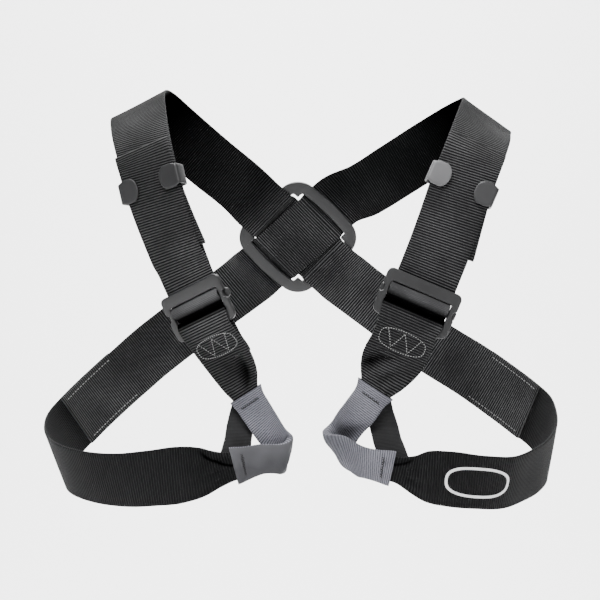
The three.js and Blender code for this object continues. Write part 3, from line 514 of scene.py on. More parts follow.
def loop_plate(name, outer, inner, thick, bevel, where, replaces):
    """A dark metal plate with one hole: at each step along two loops, a section that runs up the outer
    side, over the face, down the inner side and back, its corners rounded by a quarter turn of the bevel."""
    def normal(loop):
        """Outward directions along a loop that runs anticlockwise."""
        step = np.roll(loop, -1, 0) - np.roll(loop, 1, 0)
        return unit(np.stack([step[:, 1], -step[:, 0]], 1))

    a = np.radians([0, 22.5, 45, 67.5, 90])
    inset = bevel * (1 - np.cos(a))
    height = thick / 2 - bevel + bevel * np.sin(a)
    walls = []
    for loop, out in ((outer, normal(outer)), (inner, -normal(inner))):
        up = [np.column_stack([loop - out * i, np.full(len(loop), h)]) for i, h in zip(inset, height)]
        down = [p * [1, 1, -1] for p in up[::-1]]
        walls.append(down + up)
    points = where.spot(np.stack(walls[0] + walls[1][::-1], 1))
    faces = grid_faces(len(outer), points.shape[1], True)
    mesh_object(name, points.reshape(-1, 3), faces, [dark_metal], replaces=replaces)


def quadratic(start, corner, end, t):
    """A quadratic curve from start to end that leaves and arrives towards its corner."""
    return start * (1 - t) ** 2 + 2 * corner * t * (1 - t) + end * t * t


def rounded(loop):
    """A closed loop of corners with radii: 9 points of a quadratic curve at each, 8 steps between them."""
    ends = []
    for i, (x, y, r) in enumerate(loop):
        here = np.array([x, y])
        before, after = (np.array(loop[k % len(loop)][:2]) for k in (i - 1, i + 1))
        ends.append((here + unit(before - here) * r, here, here + unit(after - here) * r))
    t, u = np.linspace(0, 1, 9)[:, None], np.linspace(0, 1, 9)[1:-1, None]
    out = []
    for (start, here, end), (following, _, _) in zip(ends, ends[1:] + ends[:1]):
        out.append(quadratic(start, here, end, t))
        out.append(end + (following - end) * u)
    return np.vstack(out)


def four_turns(quarter):
    """A quarter of a loop repeated by quarter turns, read at even lengths."""
    turns = [np.array([[math.cos(a), math.sin(a)], [-math.sin(a), math.cos(a)]])
             for a in np.arange(4) * math.pi / 2]
    loop = np.vstack([quarter @ turn for turn in turns])
    loop = np.vstack([loop, loop[:1]])
    length = lengths(loop)
    keep = np.append(True, np.diff(length) > 1e-9)
    where = np.linspace(0, length[-1], RING_STEPS + 1)[:-1]
    return np.stack([np.interp(where, length[keep], loop[keep, k]) for k in (0, 1)], 1)


def slotted_square():
    """The ring's window: four slots with bowed outer sides, x = half + bow (1 - (s/S) squared), whose
    corners and the teeth between them are rounded by quadratic curves."""
    half = RING_SIZE / 2 - RING_BAR
    s, r, t = SLOT_HALF, SLOT_CORNER, TOOTH_CORNER
    y = np.linspace(r - s, s - r, 24)
    side = np.column_stack([half + RING_BOW * (1 - (y / (s - r)) ** 2), y])
    u = np.linspace(0, 1, 7)[:, None]
    curves = [((half, s - r), (half, s), (half - r, s)), ((s + t, s), (s, s), (s, s + t)),
              ((s, half - r), (s, half), (s - r, half))]
    rounds = [quadratic(*map(np.array, curve), u) for curve in curves]
    return four_turns(np.vstack([side[:-1], *rounds])[:-1])


def bowed_square():
    """The ring's outline: a square with round corners and bowed sides, whose offset from the middle is
    h + bow (1 - (s/c) squared)."""
    h, c = RING_SIZE / 2, RING_SIZE / 2 - RING_CORNER
    s = np.linspace(-c, c, 14)[:-1]
    side = np.stack([h + RING_BOW * (1 - (s / c) ** 2), s], 1)
    a = np.linspace(0, math.pi / 2, 14)[:-1]
    turn = np.stack([c + RING_CORNER * np.cos(a), c + RING_CORNER * np.sin(a)], 1)
    return four_turns(np.vstack([side, turn]))


def threads(name, pairs, radius, material):
    """Stitches: each a tube from start to end whose middle line rises by 0.35 radius in a half sine along
    its own face direction, and whose radius falls off at both ends as a half ellipse."""
    starts, ends = (np.vstack([pair[k] for pair in pairs]) for k in (0, 1))
    rise, ends, starts = starts[:, 3:], ends[:, :3], starts[:, :3]
    axis = unit(ends - starts)
    side = unit(np.cross(axis, rise))
    t = np.array([0.02, 0.15, 0.4, 0.6, 0.85, 0.98])
    a = np.linspace(0, 2 * math.pi, 7)[:-1]
    middle = starts[:, None] + (ends - starts)[:, None] * t[None, :, None]
    middle = middle + rise[:, None] * (0.35 * radius * np.sin(math.pi * t))[None, :, None]
    r = radius * np.sqrt(1 - (2 * t - 1) ** 2 * 0.98)
    round_it = (np.cos(a)[None, None, :, None] * side[:, None, None] +
                np.sin(a)[None, None, :, None] * rise[:, None, None])
    points = middle[:, :, None] + round_it * r[None, :, None, None]
    count, rows, cols = points.shape[:3]
    one = tube_faces(rows, cols)
    faces = [[v + k * rows * cols for v in f] for k in range(count) for f in one]
    mesh_object(name, points.reshape(-1, 3), faces, [material])


def on_strip(run, along, across, lift, side=1):
    """Points on a strip's face: place + ruling across / slant + side x face (t/2 + cup + lift), then the
    direction out of that face."""
    at = sampled(run, np.asarray(along, float))
    out, go = (unit(np.stack([np.interp(along, arc(run), way[:, k]) for k in range(3)], 1))
               for way in (face(run), travel(run)))
    lean = np.linalg.norm(np.cross(at[:, RULING], go), axis=1)
    across = np.asarray(across, float)
    share = across / (at[:, WIDE] * WIDTH / 2)
    height = side * (at[:, DEEP] * THICK / 2 + lift) + at[:, CUP] * WIDTH * (1 - share ** 2)
    points = at[:, AT] + at[:, RULING] * (across / lean)[:, None] + out * height[:, None]
    return np.column_stack([points, out * side])


def dashes(run, along, across, side, lift=0.1, pitch=3.2, fill=0.72):
    """Starts and ends of stitches a pitch apart along a line given by arrays of along and across."""
    along, across = np.asarray(along, float), np.asarray(across, float)
    length = lengths(np.column_stack([along, across]))
    count = max(1, int(length[-1] / pitch))
    begin = (np.arange(count) + (1 - fill) / 2) * length[-1] / count
    end = begin + fill * length[-1] / count
    return [on_strip(run, np.interp(w, length, along), np.interp(w, length, across), lift, side)
            for w in (begin, end)]


# Materials
def new_material(name, colour, rough, metal=0.0):
    """A principled material with constant values and its node tree."""
    mat = bpy.data.materials.new(name)
    mat.use_nodes = True
    tree = mat.node_tree
    bsdf = tree.nodes["Principled BSDF"]
    bsdf.inputs["Base Color"].default_value = (*colour, 1)
    bsdf.inputs["Roughness"].default_value = rough
    bsdf.inputs["Metallic"].default_value = metal
    return mat, tree, bsdf


def link_math(tree, operation, *values):
    """A maths node on sockets or numbers; gives its output."""
    node = tree.nodes.new("ShaderNodeMath")
    node.operation = operation
    for socket, value in zip(node.inputs, values):
        if isinstance(value, (int, float)):
            socket.default_value = value
        else:
            tree.links.new(value, socket)
    return node.outputs[0]


def ramp(tree, value, low, high, dark, light):
    """A colour between two, by where a value lies between low and high."""
    span = tree.nodes.new("ShaderNodeMapRange")
    for key, number in (("From Min", low), ("From Max", high)):
        span.inputs[key].default_value = number
    tree.links.new(value, span.inputs["Value"])
    mix = tree.nodes.new("ShaderNodeMix")
    mix.data_type = "RGBA"
    tree.links.new(span.outputs["Result"], mix.inputs["Factor"])
    for socket, colour in zip([s for s in mix.inputs if s.type == "RGBA"], (dark, light)):
        if isinstance(colour, tuple):
            socket.default_value = (*colour, 1)
        else:
            tree.links.new(colour, socket)
    return [s for s in mix.outputs if s.type == "RGBA"][0]


def noise(tree, scale, detail=2.0):
    """Noise on the object's own coordinates."""
    where = tree.nodes.new("ShaderNodeTexCoord")
    node = tree.nodes.new("ShaderNodeTexNoise")
    node.inputs["Scale"].default_value = scale
    node.inputs["Detail"].default_value = detail
    tree.links.new(where.outputs["Object"], node.inputs["Vector"])
    return node.outputs[0]


def raised(tree, bsdf, height, depth):
    """A bump from a height, this many millimetres deep."""
    bump = tree.nodes.new("ShaderNodeBump")
    bump.inputs["Strength"].default_value = 1.0
    bump.inputs["Distance"].default_value = depth * MM
    tree.links.new(height, bump.inputs["Height"])
    tree.links.new(bump.outputs[0], bsdf.inputs["Normal"])


def woven(name, groove, ridge, pitch, depth, sheen, cut=0.0):
    """Webbing: ribs across it by the sine of its length, fine picks on each rib by the product of two sines,
    wear and dull patches by slow noise, and a bump from the ribs and picks. Painted shade: where the piece's
    share of painted shade nears 1, the colour goes to a fraction of the groove's dark and the gloss and
    sheen go to none."""
    mat, tree, bsdf = new_material(name, ridge, CLOTH_ROUGH)
    uv = tree.nodes.new("ShaderNodeUVMap")
    uv.uv_map = "cloth"
    parts = tree.nodes.new("ShaderNodeSeparateXYZ")
    tree.links.new(uv.outputs[0], parts.inputs[0])
    along = link_math(tree, "MULTIPLY", parts.outputs["Y"], 2 * math.pi / (pitch * MM))
    across = link_math(tree, "MULTIPLY", parts.outputs["X"], 2 * math.pi / (PICK_PITCH * MM))
    rib = link_math(tree, "SINE", along)
    half = link_math(tree, "SINE", link_math(tree, "MULTIPLY", along, 0.5))
    pick = link_math(tree, "MULTIPLY", link_math(tree, "SINE", across), half)
    height = link_math(tree, "MULTIPLY_ADD", pick, PICK_SHARE, rib)
    worn = ramp(tree, noise(tree, PATCH_SCALE, 3.0), 0.4, 0.62, tuple(DULL * c for c in ridge), ridge)
    fuzzy = link_math(tree, "MULTIPLY_ADD", noise(tree, FUZZ_SCALE), FUZZ_SHARE, height)
    tone = ramp(tree, fuzzy, cut, cut + TONE_SPAN, groove, worn)
    # Painted shade: each point's share, read from the mesh
    painted_shade = tree.nodes.new("ShaderNodeAttribute")
    painted_shade.attribute_name = "painted_shade"
    shaded = ramp(tree, painted_shade.outputs["Fac"], 0, 1, tone, tuple(PAINTED_SHADE_TONE * c for c in groove))
    tree.links.new(shaded, bsdf.inputs["Base Color"])
    raised(tree, bsdf, height, depth)
    open_part = link_math(tree, "SUBTRACT", 1.0, painted_shade.outputs["Fac"])
    for share, socket in ((CLOTH_GLOSS, "Specular IOR Level"), (sheen, "Sheen Weight")):
        tree.links.new(link_math(tree, "MULTIPLY", open_part, share), bsdf.inputs[socket])
    bsdf.inputs["Sheen Roughness"].default_value = 0.5
    return mat


def coated(name, dark, light, rough, metal, scale=25.0):
    """Coated metal, thread or print: two tones and a slight bump by noise."""
    mat, tree, bsdf = new_material(name, light, rough, metal)
    tree.links.new(ramp(tree, noise(tree, scale, 5.0), 0.3, 0.7, dark, light), bsdf.inputs["Base Color"])
    raised(tree, bsdf, noise(tree, GRAIN_SCALE), GRAIN_DEEP)
    return mat


# Cloth: pitch of the picks in mm and their share of the height, the fuzz's share, the span of height from
# groove to ridge, the tone of dull patches and of painted shade, roughness and gloss. Then the scales of the
# patches, the fuzz and the metal's grain, and the grain's depth in mm.
PICK_PITCH, PICK_SHARE, FUZZ_SHARE, TONE_SPAN = 1.3, 0.3, 0.9, 1.5
DULL, PAINTED_SHADE_TONE, CLOTH_ROUGH, CLOTH_GLOSS = 0.45, 0.06, 0.72, 0.08
PATCH_SCALE, FUZZ_SCALE, GRAIN_SCALE, GRAIN_DEEP = 14.0, 420.0, 900.0, 0.03
# Name, colour of the grooves and of the ridges, rib pitch and bump depth in mm, sheen, and the height up to
# which all is groove
webbing = woven("webbing", (0.003, 0.003, 0.0035), (0.1, 0.101, 0.103), 1.95, 0.3, 0.02)
# A darker copy of the webbing for the chest bands: painted shade
shaded_band_webbing = woven("shaded_band_webbing", (0.003, 0.003, 0.0035), (0.019, 0.0195, 0.02), 1.95, 0.25, 0.012)
sleeve_cloth = woven("sleeve_cloth", (0.07, 0.07, 0.082), (0.25, 0.25, 0.29), 1.5, 0.2, 0.08, -0.5)
# Webbing over a slider's front: finer, flatter ribs, and a lighter tone that is a painted highlight
highlit_roll_webbing = woven("highlit_roll_webbing", (0.03, 0.03, 0.031), (0.085, 0.085, 0.088), 0.9, 0.06, 0.05, -1.0)
plain_webbing = woven("plain_webbing", (0.008, 0.008, 0.009), (0.026, 0.026, 0.027), 1.1, 0.1, 0.15, -1.2)
sleeve_face = woven("sleeve_face", (0.075, 0.075, 0.082), (0.115, 0.115, 0.125), 0.8, 0.03, 0.1, -1.6)
# Name, dark tone, light tone, roughness, share of metal and scale of the tones' noise
dark_metal = coated("dark_metal", (0.022, 0.022, 0.023), (0.034, 0.034, 0.035), 0.42, 0.2)
# A brighter copy of the clips' grey metal: a painted highlight on one tab
highlit_keeper_metal = coated("highlit_keeper_metal", (0.115, 0.115, 0.118), (0.16, 0.16, 0.165), 0.45, 0.2)
grey_metal = coated("grey_metal", (0.033, 0.033, 0.034), (0.05, 0.05, 0.052), 0.42, 0.4)
pale_thread = coated("pale_thread", (0.2, 0.2, 0.2), (0.32, 0.32, 0.32), 0.8, 0.0, 300.0)
dark_thread = coated("dark_thread", (0.01, 0.01, 0.011), (0.03, 0.03, 0.032), 0.85, 0.0, 300.0)
white_print = coated("white_print", (0.78, 0.78, 0.78), (0.9, 0.9, 0.9), 0.6, 0.0, 200.0)

# How far a fold flares at its outer edge
FLARE = {"left": 1.2, "right": 6.0}
# Dents, and the hollow in a sleeve's fold: how far past the fold and where across the band the middle lies,
# half length, half width, slant and depth. Each also gets painted shade, the dents' growing with their
# depth;
# the left hollow has no depth and is painted shade alone.
DENTS = {
    "left": [(68, -0.4, 13, 0.3, -8, 5.5), (76, 0.1, 8, 0.3, 8, 1.2)],
    "right": [(70, 0.6, 6.5, 0.45, -16, 5.5), (62, -0.1, 5, 0.5, -12, 2.0)],
}
HOLLOW = {"left": (6, 0, 2.2, 1.1, 6, 0), "right": (14, -0.15, 7.5, 0.7, -10, 3)}
# The sign of u on a band's upper edge, and the pleat there: how far before the fold it starts at the edge
# and ends, where across it ends, and its step's height
UPPER = {"left": -1, "right": 1}
PLEAT = {"left": (66, 40, 0.05, -1.7), "right": (60, 42, 0.35, -1.3)}
# A link's widths at its foot and how far the foot is moved along its ruling
LINK_FOOT = {"left": ((0.48, 0.56), (0.8, 2.1)), "right": ((0.47, 0.5), (-2.0, -4.7))}
# How far along a sleeve its outer face is smooth cloth
PLAIN = {"left": EYE_LEFT["lower"] + 9, "right": 0}


def gathers(length, u, wide):
    """Relief of gathered webbing: the lost share of width, faded out where the band is narrowest, times
    1.65 cos(3.5 pi u + length / 14) + 0.77 cos(8 u), and a slow wave."""
    pinch = np.clip(1 - wide, 0, 0.5) * smooth(wide, 0.44, 0.62)
    fold = 1.5 * np.cos(3.5 * math.pi * u + length / 14) + 0.7 * np.cos(8 * u)
    return pinch * fold * 1.1 + 0.12 * np.sin(length / 17 + 2.1 * u)


def slack(length, u, wide):
    """Slight unevenness of plain webbing, whatever its width: two slow waves over length and width."""
    return 0.16 * np.sin(length / 23 + 1.3 * u) + 0.1 * np.sin(length / 9.0 - 2.2 * u)


def dent(past, u, form, power=2):
    """1 in a dent's middle, exp of minus the sum of two powers beside it: of the distance along over the
    half length and of the distance across over the half width."""
    centre, across, half_long, half_wide, lean, _ = form
    off = past - centre - lean * (u - across)
    return np.exp(-np.abs(off / half_long) ** power - np.abs((u - across) / half_wide) ** power)


def bending(name, middle, hem):
    """A band near its eye as two functions of arc length and the share across. Bend is its height: the
    fold's flare (1 + u) / 2 to the power 1.5, the dents, the sleeve's hollow and the pleat, a smooth step
    across a slanting line. Shade is the painted shade in the dents, the pleat's line and the hollow. The
    dents fade in past the sleeve's hem."""
    start, stop, end_across, height = PLEAT[name]

    def pleat(past, u, fade):
        """How far u lies beyond the pleat's line, and how much of the pleat shows at this length."""
        run = np.clip((past + start) / (start - stop), 0, 1)
        line = 1 + (end_across - 1) * run
        shown = smooth(past, -start, -start + 8) * (1 - smooth(past, -stop + 2, -stop + fade))
        return UPPER[name] * u - line, shown

    def bend(at, u):
        """Height over the plain band."""
        past = at - middle
        dents = sum(form[-1] * dent(past, u, form) for form in DENTS[name])
        beyond, shown = pleat(past, u, 14)
        return (FLARE[name] * bell(past, 13) * ((1 + u) / 2) ** 1.5 + smooth(past, hem, hem + 9) * dents
                + HOLLOW[name][-1] * dent(past, u, HOLLOW[name])
                + height * shown * smooth(beyond, -0.09, 0.03))

    def shade(at, u):
        """Share of painted shade."""
        past = at - middle
        dents = sum(min(form[-1] / 5, 0.85) * dent(past, u, form) for form in DENTS[name])
        beyond, shown = pleat(past, u, 6)
        dark = smooth(past, hem - 2, hem + 5) * dents + 1.2 * shown * bell(beyond + 0.03, 0.09)
        return np.clip(dark + dent(past, u, HOLLOW[name], 3), 0, 1)

    return bend, shade


def eye_sleeve(name, run, turn_at, bend, shade, cols=72):
    """A flattened tube, a closed skin round both its walls, open at its two ends: across cos a (w/2 + grow)
    and deep sin a, each to a power that flattens it, with the band's bend, creases on the walls' own
    sides, and a flare at both ends. Its outer face is smooth cloth for the first stretch."""
    length = arc(run)
    total = length[-1]

    def creases(at, u):
        """Fine pleats that fan from the fold, slow waves, and at both ends a thick hem and a pinch."""
        fan = bell(at - turn_at, 12) * 0.5 * np.sin(at * 1.15 + 5 * u) * (0.3 + 0.7 * (1 + u) / 2)
        hem = 0.4 * (bell(at - 3.2, 2.4) + bell(at - total + 3.2, 2.4))
        pinch = -0.3 * (bell(at - TACK, 1.8) + bell(at - total + TACK, 1.8))
        slow = 0.2 * np.sin(at / 6.5 + 2.4 * u)
        return np.clip(fan + hem + pinch + slow, -0.38, 1)

    a = np.linspace(0, 2 * math.pi, cols + 1)[:-1]
    flat_x, flat_y = signed_power(np.cos(a), 0.55), signed_power(np.sin(a), 0.45)
    ends = bell(length, 9) + 0.4 * bell(length - total, 6)
    walls, darks = [], []
    for grow in (SLEEVE_ROOM + SLEEVE_WALL, SLEEVE_ROOM):
        half = (run[:, WIDE] * WIDTH / 2 + grow + SLEEVE_EASE + SLEEVE_FLARE * ends)[:, None]
        x = half * flat_x[None]
        u = x / half
        y = (run[:, DEEP] * THICK / 2 + grow)[:, None] * flat_y[None]
        y = y + creases(length[:, None], u) * signed_power(flat_y, 0.5)[None] + bend(length[:, None], u)
        walls.append(run[:, None, AT] + run[:, None, RULING] * (x / slant(run)[:, None])[..., None]
                     + face(run)[:, None] * y[..., None])
        # Painted shade: the band's shade at each point of the sleeve
        darks.append(shade(length[:, None], u))
    uv = np.stack(np.broadcast_arrays(a[None] * CLOTH_ROUND, length[:, None]), -1)
    points, uv, dark = (np.concatenate([outer, inner[::-1]])[:, ::-1]
                        for outer, inner in (walls, (uv, uv), darks))
    rows = len(points)
    row, col = np.meshgrid(np.arange(rows), np.arange(cols), indexing="ij")
    # The smooth part is the outward half of the outer wall, short of its two edges
    plain = (row < np.searchsorted(length, PLAIN[name])) & (col > cols * 0.53) & (col < cols * 0.97)
    mesh_object(f"{name}_sleeve_cloth", points.reshape(-1, 3), grid_faces(rows, cols, True),
                [sleeve_cloth, sleeve_face], uv.reshape(-1, 2), replaces=[f"{name}_sleeve"],
                painted_shade=dark, marks=plain)


# Ring
loop_plate("ring_plate", bowed_square(), slotted_square(), RING_THICK, RING_BEVEL,
           turned_place(ring.at, spin(ring.x, ring.z, RING_TURN), ring.z), ["back_ring"])

# Straps: rows over the shoulder and under the other arm, direction through the ring, which of its faces
# is passed over, and the side that it laps to
STRAPS = {
    "left": (OVER_LEFT, UNDER_RIGHT, RING_DOWN, 1, "right"),
    "right": (OVER_RIGHT, UNDER_LEFT, RING_BACK, -1, "left"),
}
EYES = {"left": (EYE_LEFT, eye_fold(EYE_LEFT, 1)), "right": (EYE_RIGHT, eye_fold(EYE_RIGHT, -1))}
RISES = {"left": RISE_LEFT, "right": RISE_RIGHT}
LINKS = {"left": LINK_LEFT, "right": LINK_RIGHT}


def shoulder_strap(name, buckle):
    """A strap from its folded tail round the slider, over the shoulder and through the ring to the lap's
    inner layer. Gives its stretch over the shoulder, the lap's outer layer and its inner one."""
    over_rows, under_rows, along, side, to = STRAPS[name]
    below = stations(buckle.spot([[0, -2 * TOP_BAR, -STACK], [0, UNDER_TOP, -STACK]]), buckle.x)
    crossing = through_ring(along, side)
    over = route(over_rows, below, crossing[[0, 2]])
    under = route(under_rows, crossing[[-3, -1]], EYES[to][1][[0, 2]])
    inside = between(under, 0, SEAM)
    inside = lifted(inside, -LAP_PITCH * smooth(arc(inside), SEAM - OVERLAP - LAP_EASE, SEAM - OVERLAP - 2))
    tail, roll = spare_strap(over, FOLD_TURN[name]), round_slider(buckle)
    whole = join(tail, roll, over, crossing, inside)
    length, first, begin = arc(whole), len(tail), len(tail) + len(roll)
    # The roll over the slider takes the lighter webbing with fine ribs: its lighter tone is a painted
    # highlight
    marks = np.zeros(len(whole), int)
    marks[first + 1:first + 1 + 2 * ROLL_FRONT] = 1
    crown, far = length[begin + np.argmax(over[:, 2])], length[begin + len(over)]
    front, low, behind = length[first + np.array([4, 10, 24])]

    def dark(at, u, side):
        """Painted shade under the roll over the slider, on the inner face from the crown to the ring, a
        little less further on, and on the outer face round the crown.
        """
        under_roll = smooth(at, front, low) * (1 - smooth(at, behind, behind + 12))
        inner = smooth(at, crown - 10, crown + 12) * (1 - smooth(at, far - 12, far + 20))
        fade = 1 - 0.3 * smooth(at, crown + 30, crown + 130)
        top = 0.5 * bell(at - crown + 8, 40)
        return under_roll + inner * fade * (side < 0) + top * (side > 0)

    strip(f"{name}_shoulder_webbing", whole, [webbing, highlit_roll_webbing], [f"{name}_shoulder_strap"],
          marks=marks, dark=dark, relief=slack)
    return over, between(under, SEAM - OVERLAP), inside


def buckle_metal(name, buckle):
    """The frame, with notched legs and one window, each corner with its own radius, and the bar that grips
    the strap, narrower and thinner at its two ends."""
    half, hole = PLATE_WIDTH / 2, PLATE_WIDTH / 2 - LEG
    notch = half - LEG_NOTCH
    low, high = -SLIDER_DROP - SLIDER_BAR / 2, -SLIDER_DROP + SLIDER_BAR / 2
    levels = [low, low + NOTCH_EASE, high - NOTCH_EASE, high]
    sides = ([(half, LOWER_EDGE - LOWER_BAR, 6),
              *[(x, y, 1.2) for x, y in zip((half, notch, notch, half), levels)], (half, TOP_BAR / 2, 5)],
             [(hole, LOWER_EDGE, 1.5), *[(hole, y, 0.2) for y in levels], (hole, -TOP_BAR / 2, 1.5)])
    outer, window = (rounded([*side, *[(-x, y, r) for x, y, r in side[::-1]]]) for side in sides)
    loop_plate(f"{name}_buckle_plate", outer, window, PLATE, PLATE_BEVEL, buckle, [f"{name}_buckle_frame"])
    reach = half - np.array([-0.4, 0.2, 1.2])
    wide, deep = [0.72, 0.9, 1], [0.6, 0.85, 1]
    bar = stations(buckle.spot([[x, -SLIDER_DROP, -PLATE - GAP] for x in (*-reach, *reach[::-1])]),
                   buckle.y, wide + wide[::-1], deep + deep[::-1])
    strip(f"{name}_slide_bar", bar, [dark_metal], [f"{name}_buckle_slider"],
          width=SLIDER_BAR, thick=SLIDER_THICK, cells=6)


def keeper_clip(name, over):
    """A clip bent round strap and tail: from the tab's tip over the front, a quarter turn, down the side, a
    quarter turn and behind, and the same mirrored. The tips are rounded as a half ellipse, and the clip is
    narrower at its sides. One half of its front and side is painted: lighter on the right clip, a painted
    highlight, and darker on the left clip, a painted shade."""
    spot = sampled(over, [KEEPER_RISE[name], KEEPER_RISE[name] + 1])
    out = face(spot)[0]
    where = turned_place(spot[0, AT], spin(spot[0, RULING], out, KEEPER_TURN[name]), out)
    reach = WIDTH / 2 + KEEPER_SIDE + KEEPER_WALL / 2
    rear = -THICK / 2 - KEEPER_ROOM - KEEPER_WALL / 2
    front = 2 * PITCH + THICK / 2 + KEEPER_ROOM + KEEPER_WALL / 2
    tip = reach + KEEPER_WALL / 2 - KEEPER_TAB
    bend = KEEPER_BEND - KEEPER_WALL / 2
    a = np.linspace(0, math.pi / 2, 7)
    right = np.vstack([
        np.column_stack([np.linspace(tip, reach - bend, 16), np.full(16, front)])[:-1],
        np.column_stack([reach - bend + bend * np.sin(a), front - bend + bend * np.cos(a)]),
        np.column_stack([reach - bend + bend * np.cos(a), rear + bend - bend * np.sin(a)]),
    ])
    x, z = np.vstack([right, right[::-1] * [-1, 1]]).T
    from_tip = np.abs(x) - tip
    tip_wide = np.sqrt(1 - np.clip(1 - from_tip / 6.0, 0, 1) ** 2 * 0.97)
    wide = np.where(z > front - 0.01, tip_wide, 1.0) * (1 - 0.17 * smooth(np.abs(x), reach - 5, reach))
    clip = stations(where.spot(np.column_stack([x, 0 * x, z])), where.y, wide)
    # Painted light on one tab of each clip: bright metal on the right clip is a painted highlight, dark
    # metal on the left a painted shade
    shown = z > rear + 1
    tone = 1 * (shown & (x < 0)) if name == "right" else 2 * (shown & (x > 0))
    strip(f"{name}_clip", clip, [grey_metal, highlit_keeper_metal, dark_metal], [f"{name}_keeper"], marks=tone,
          width=KEEPER_LENGTH, thick=KEEPER_WALL, cells=8)


def chest_band(name, buckle, lap):
    """A band from its lap to the eye, round it and up to the buckle, round the lower bar and down behind,
    with its sleeve. Gives the rise from the eye to the buckle and the sleeved stretch."""
    eye, fold = EYES[name]
    bar = round_lower_bar(buckle)
    rise = route(RISES[name], fold[[-3, -1]], bar[[0, 2]])
    tall = arc(rise)[-1]
    behind = between(rise, tall - SEWN_END)
    behind = lifted(behind, PITCH + PLATE * smooth(arc(behind), SEWN_END - 16, SEWN_END))
    low, round_by = arc(lap)[-1], arc(fold)[-1]
    middle, last = low + round_by / 2, low + round_by + tall
    bend, shade = bending(name, middle, round_by / 2 + eye["upper"])
    front = softened(join(lap[:-1], fold[:-1], rise), low - 30, low + round_by + 16)
    whole = join(front, bar, behind[::-1])
    length = arc(whole)
    turn, full_turn, turn_end = length[len(front) + np.array([1, 5, HALF_TURN])]

    def relief(at, u, wide):
        """Gathers and bends, both gone before the band reaches its buckle."""
        return (gathers(at, u, wide) + bend(at, u)) * (1 - smooth(at, last - 16, last - 4))

    def dark(at, u, side):
        """Painted shade in the band's dents, pleat and hollow, and on its fold in the buckle's window."""
        window = smooth(at, turn, full_turn) * (1 - smooth(at, turn_end, turn_end + 8))
        return np.clip(shade(at, u) * (1 - smooth(at, turn - 30, turn - 10)) + window, 0, 1)

    # Up to the middle of the eye's fold the band takes the darker webbing copy, painted shade
    strip(f"{name}_chest_webbing", whole, [webbing, shaded_band_webbing], [f"{name}_chest_band"],
          marks=length < middle, relief=relief, dark=dark, cells=30)
    start = low - eye["lower"]
    tube = between(front, start, low + round_by + eye["upper"], 1.2)
    # The sleeve takes the band's bend, and 0.8 of its painted shade, faded in over the sleeve's first
    # millimetres
    eye_sleeve(name, tube, eye["lower"] + round_by / 2, lambda at, u: bend(at + start, u),
               lambda at, u: 0.8 * shade(at + start, u) * smooth(at, 3, 7))
    return rise, tube


def eye_link(name):
    """The narrow webbing behind an eye."""
    link = np.array([[*place(r), *heading(r[3], r[4]), *full(r)[5:]] for r in LINKS[name]])
    link[-2:, WIDE], drift = LINK_FOOT[name]
    link[-2:, AT] += link[-2:, RULING] * np.array(drift)[:, None]
    strip(f"{name}_link_webbing", between(link, 0, step=1.5), [plain_webbing], [f"{name}_link"],
          relief=slack)


def stitching(rise, tube, lap, inside):
    """Pale and dark stitches of one side. Under the buckle: a stadium, cos a across the band and the signed
    power 0.6 of sin a along it, and a zigzag. On the lap: two lines outside and two inside. On the sleeve's
    two ends: bar tacks on opposite faces."""
    middle = arc(rise)[-1] - 12
    long_by, wide_by = STADIUM
    a = np.linspace(0, 2 * math.pi, 120)
    pale = [
        dashes(rise, middle + wide_by * signed_power(np.sin(a), 0.6), long_by * np.cos(a), -1, *FINE_ROW),
        dashes(rise, middle + 0.82 * wide_by * np.array([1, -1, 1, -1, 1]),
               ZIGZAG * np.linspace(-1, 1, 5), -1, *FINE_ROW),
    ]
    dark = []
    for across in ([-LAP_LINE] * 2, [LAP_LINE] * 2):
        dark.append(dashes(lap, [5, OVERLAP - 4], across, 1))
        pale.append(dashes(inside, [SEAM - OVERLAP + 4, SEAM - 5], across, -1))
    x = np.linspace(-TACK, TACK, 18)
    zig = 1.1 * np.where(np.arange(18) % 2, 1, -1)
    for at, side in ((TACK, 1), (arc(tube)[-1] - TACK, -1)):
        dark.append(dashes(tube, at + zig, x, side, *TACK_ROW))
    return pale, dark


buckles, laps, insides = {}, {}, {}
for name, (over_rows, _, _, _, to) in STRAPS.items():
    buckles[name] = buckle_place(over_rows)
    over, laps[to], insides[to] = shoulder_strap(name, buckles[name])
    buckle_metal(name, buckles[name])
    keeper_clip(name, over)

pale_rows, dark_rows = [], []
for name in RISES:
    rise, tube = chest_band(name, buckles[name], laps[name])
    eye_link(name)
    pale, dark = stitching(rise, tube, laps[name], insides[name])
    pale_rows += pale
    dark_rows += dark
threads("pale_stitches", pale_rows, PALE_RADIUS, pale_thread)
threads("dark_stitches", dark_rows, DARK_RADIUS, dark_thread)

# Plain oval print on the right chest band: two ovals a line's width apart, each at two heights
a = np.linspace(0, 2 * math.pi, 97)[:-1]
at = arc(laps["right"])[-1] - PRINT_BACK
loops = []
for grow, lift in ((0.0, -0.2), (0.0, 0.16), (-PRINT_LINE, 0.16), (-PRINT_LINE, -0.2)):
    x = (PRINT_HALF[0] + grow) * signed_power(np.cos(a), 0.8)
    y = (PRINT_HALF[1] + grow) * signed_power(np.sin(a), 0.75)
    loops.append(on_strip(laps["right"], at + x, y, lift)[:, :3])
points = np.stack(loops, 1)
faces = grid_faces(len(a), len(loops), True)
mesh_object("oval_print", points.reshape(-1, 3), faces, [white_print], smooth_faces=False)

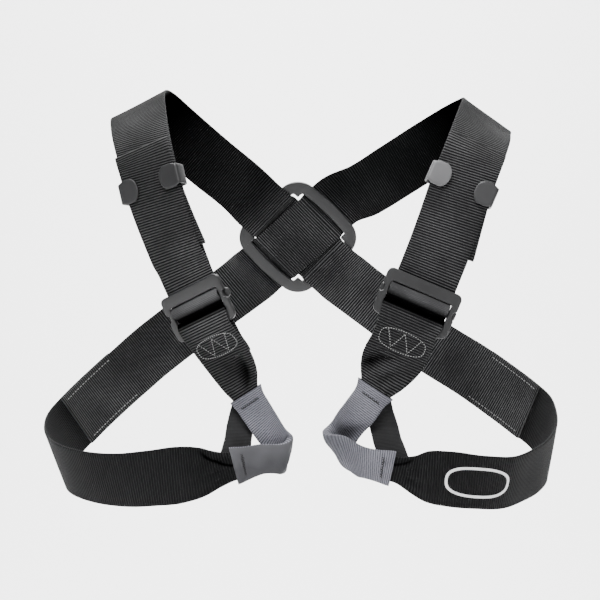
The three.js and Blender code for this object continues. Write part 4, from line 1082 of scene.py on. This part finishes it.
# Stage, in metres: a pale floor that curves up behind by a quarter turn
FLOOR, FLOOR_FRONT, CURVE_AT, CURVE, WALL_TOP, HALF_WIDE = -0.62, -4, 1.6, 1.2, 5, 6
profile = [(FLOOR_FRONT, FLOOR), (CURVE_AT, FLOOR)]
profile += [(CURVE_AT + CURVE * math.sin(t), FLOOR + CURVE * (1 - math.cos(t)))
            for t in np.linspace(0.1, math.pi / 2, 14)]
profile.append((CURVE_AT + CURVE, WALL_TOP))
verts = [(x, y, z) for y, z in profile for x in (-HALF_WIDE, HALF_WIDE)]
quads = [(2 * i, 2 * i + 1, 2 * i + 3, 2 * i + 2) for i in range(len(profile) - 1)]
mesh = bpy.data.meshes.new("backdrop")
mesh.from_pydata(verts, [], quads)
mesh.polygons.foreach_set("use_smooth", [True] * len(mesh.polygons))
mesh.materials.append(new_material("paper", (0.93, 0.93, 0.93), 0.9)[0])
backdrop = linked("backdrop", mesh)

world = bpy.data.worlds.new("studio")
bpy.context.scene.world = world
world.use_nodes = True
world.node_tree.nodes["Background"].inputs["Color"].default_value = (1, 1, 1, 1)
world.node_tree.nodes["Background"].inputs["Strength"].default_value = 0.12


def lamp(name, at, aim, edge, watts):
    """A square soft light aimed at a point."""
    data = bpy.data.lights.new(name, "AREA")
    data.shape, data.size, data.energy = "SQUARE", edge, watts
    obj = linked(name, data)
    obj.location = at
    x, y, z = np.array(aim, float) - np.array(at, float)
    obj.rotation_euler = (math.atan2(math.hypot(x, y), -z), 0, math.atan2(y, x) - math.pi / 2)


# A large key light above and in front, a little to the left, a weak fill from the right, and a light for
# the wall behind
lamp("key", (-0.35, -1.4, 1.65), (0, 0, -0.12), 1.1, 88)
lamp("fill", (0.9, -1.9, 0.2), (0, 0, -0.15), 1.2, 4.5)
lamp("wall", (0, 1.0, 1.9), (0, 2.8, -0.1), 2.0, 300)

camera = bpy.data.cameras.new("photo")
camera.lens, camera.sensor_width = LENS, 36
eye_point = linked("photo", camera)
eye_point.location = (0, -DISTANCE, LEVEL)
eye_point.rotation_euler = (math.pi / 2, 0, 0)
bpy.context.scene.camera = eye_point
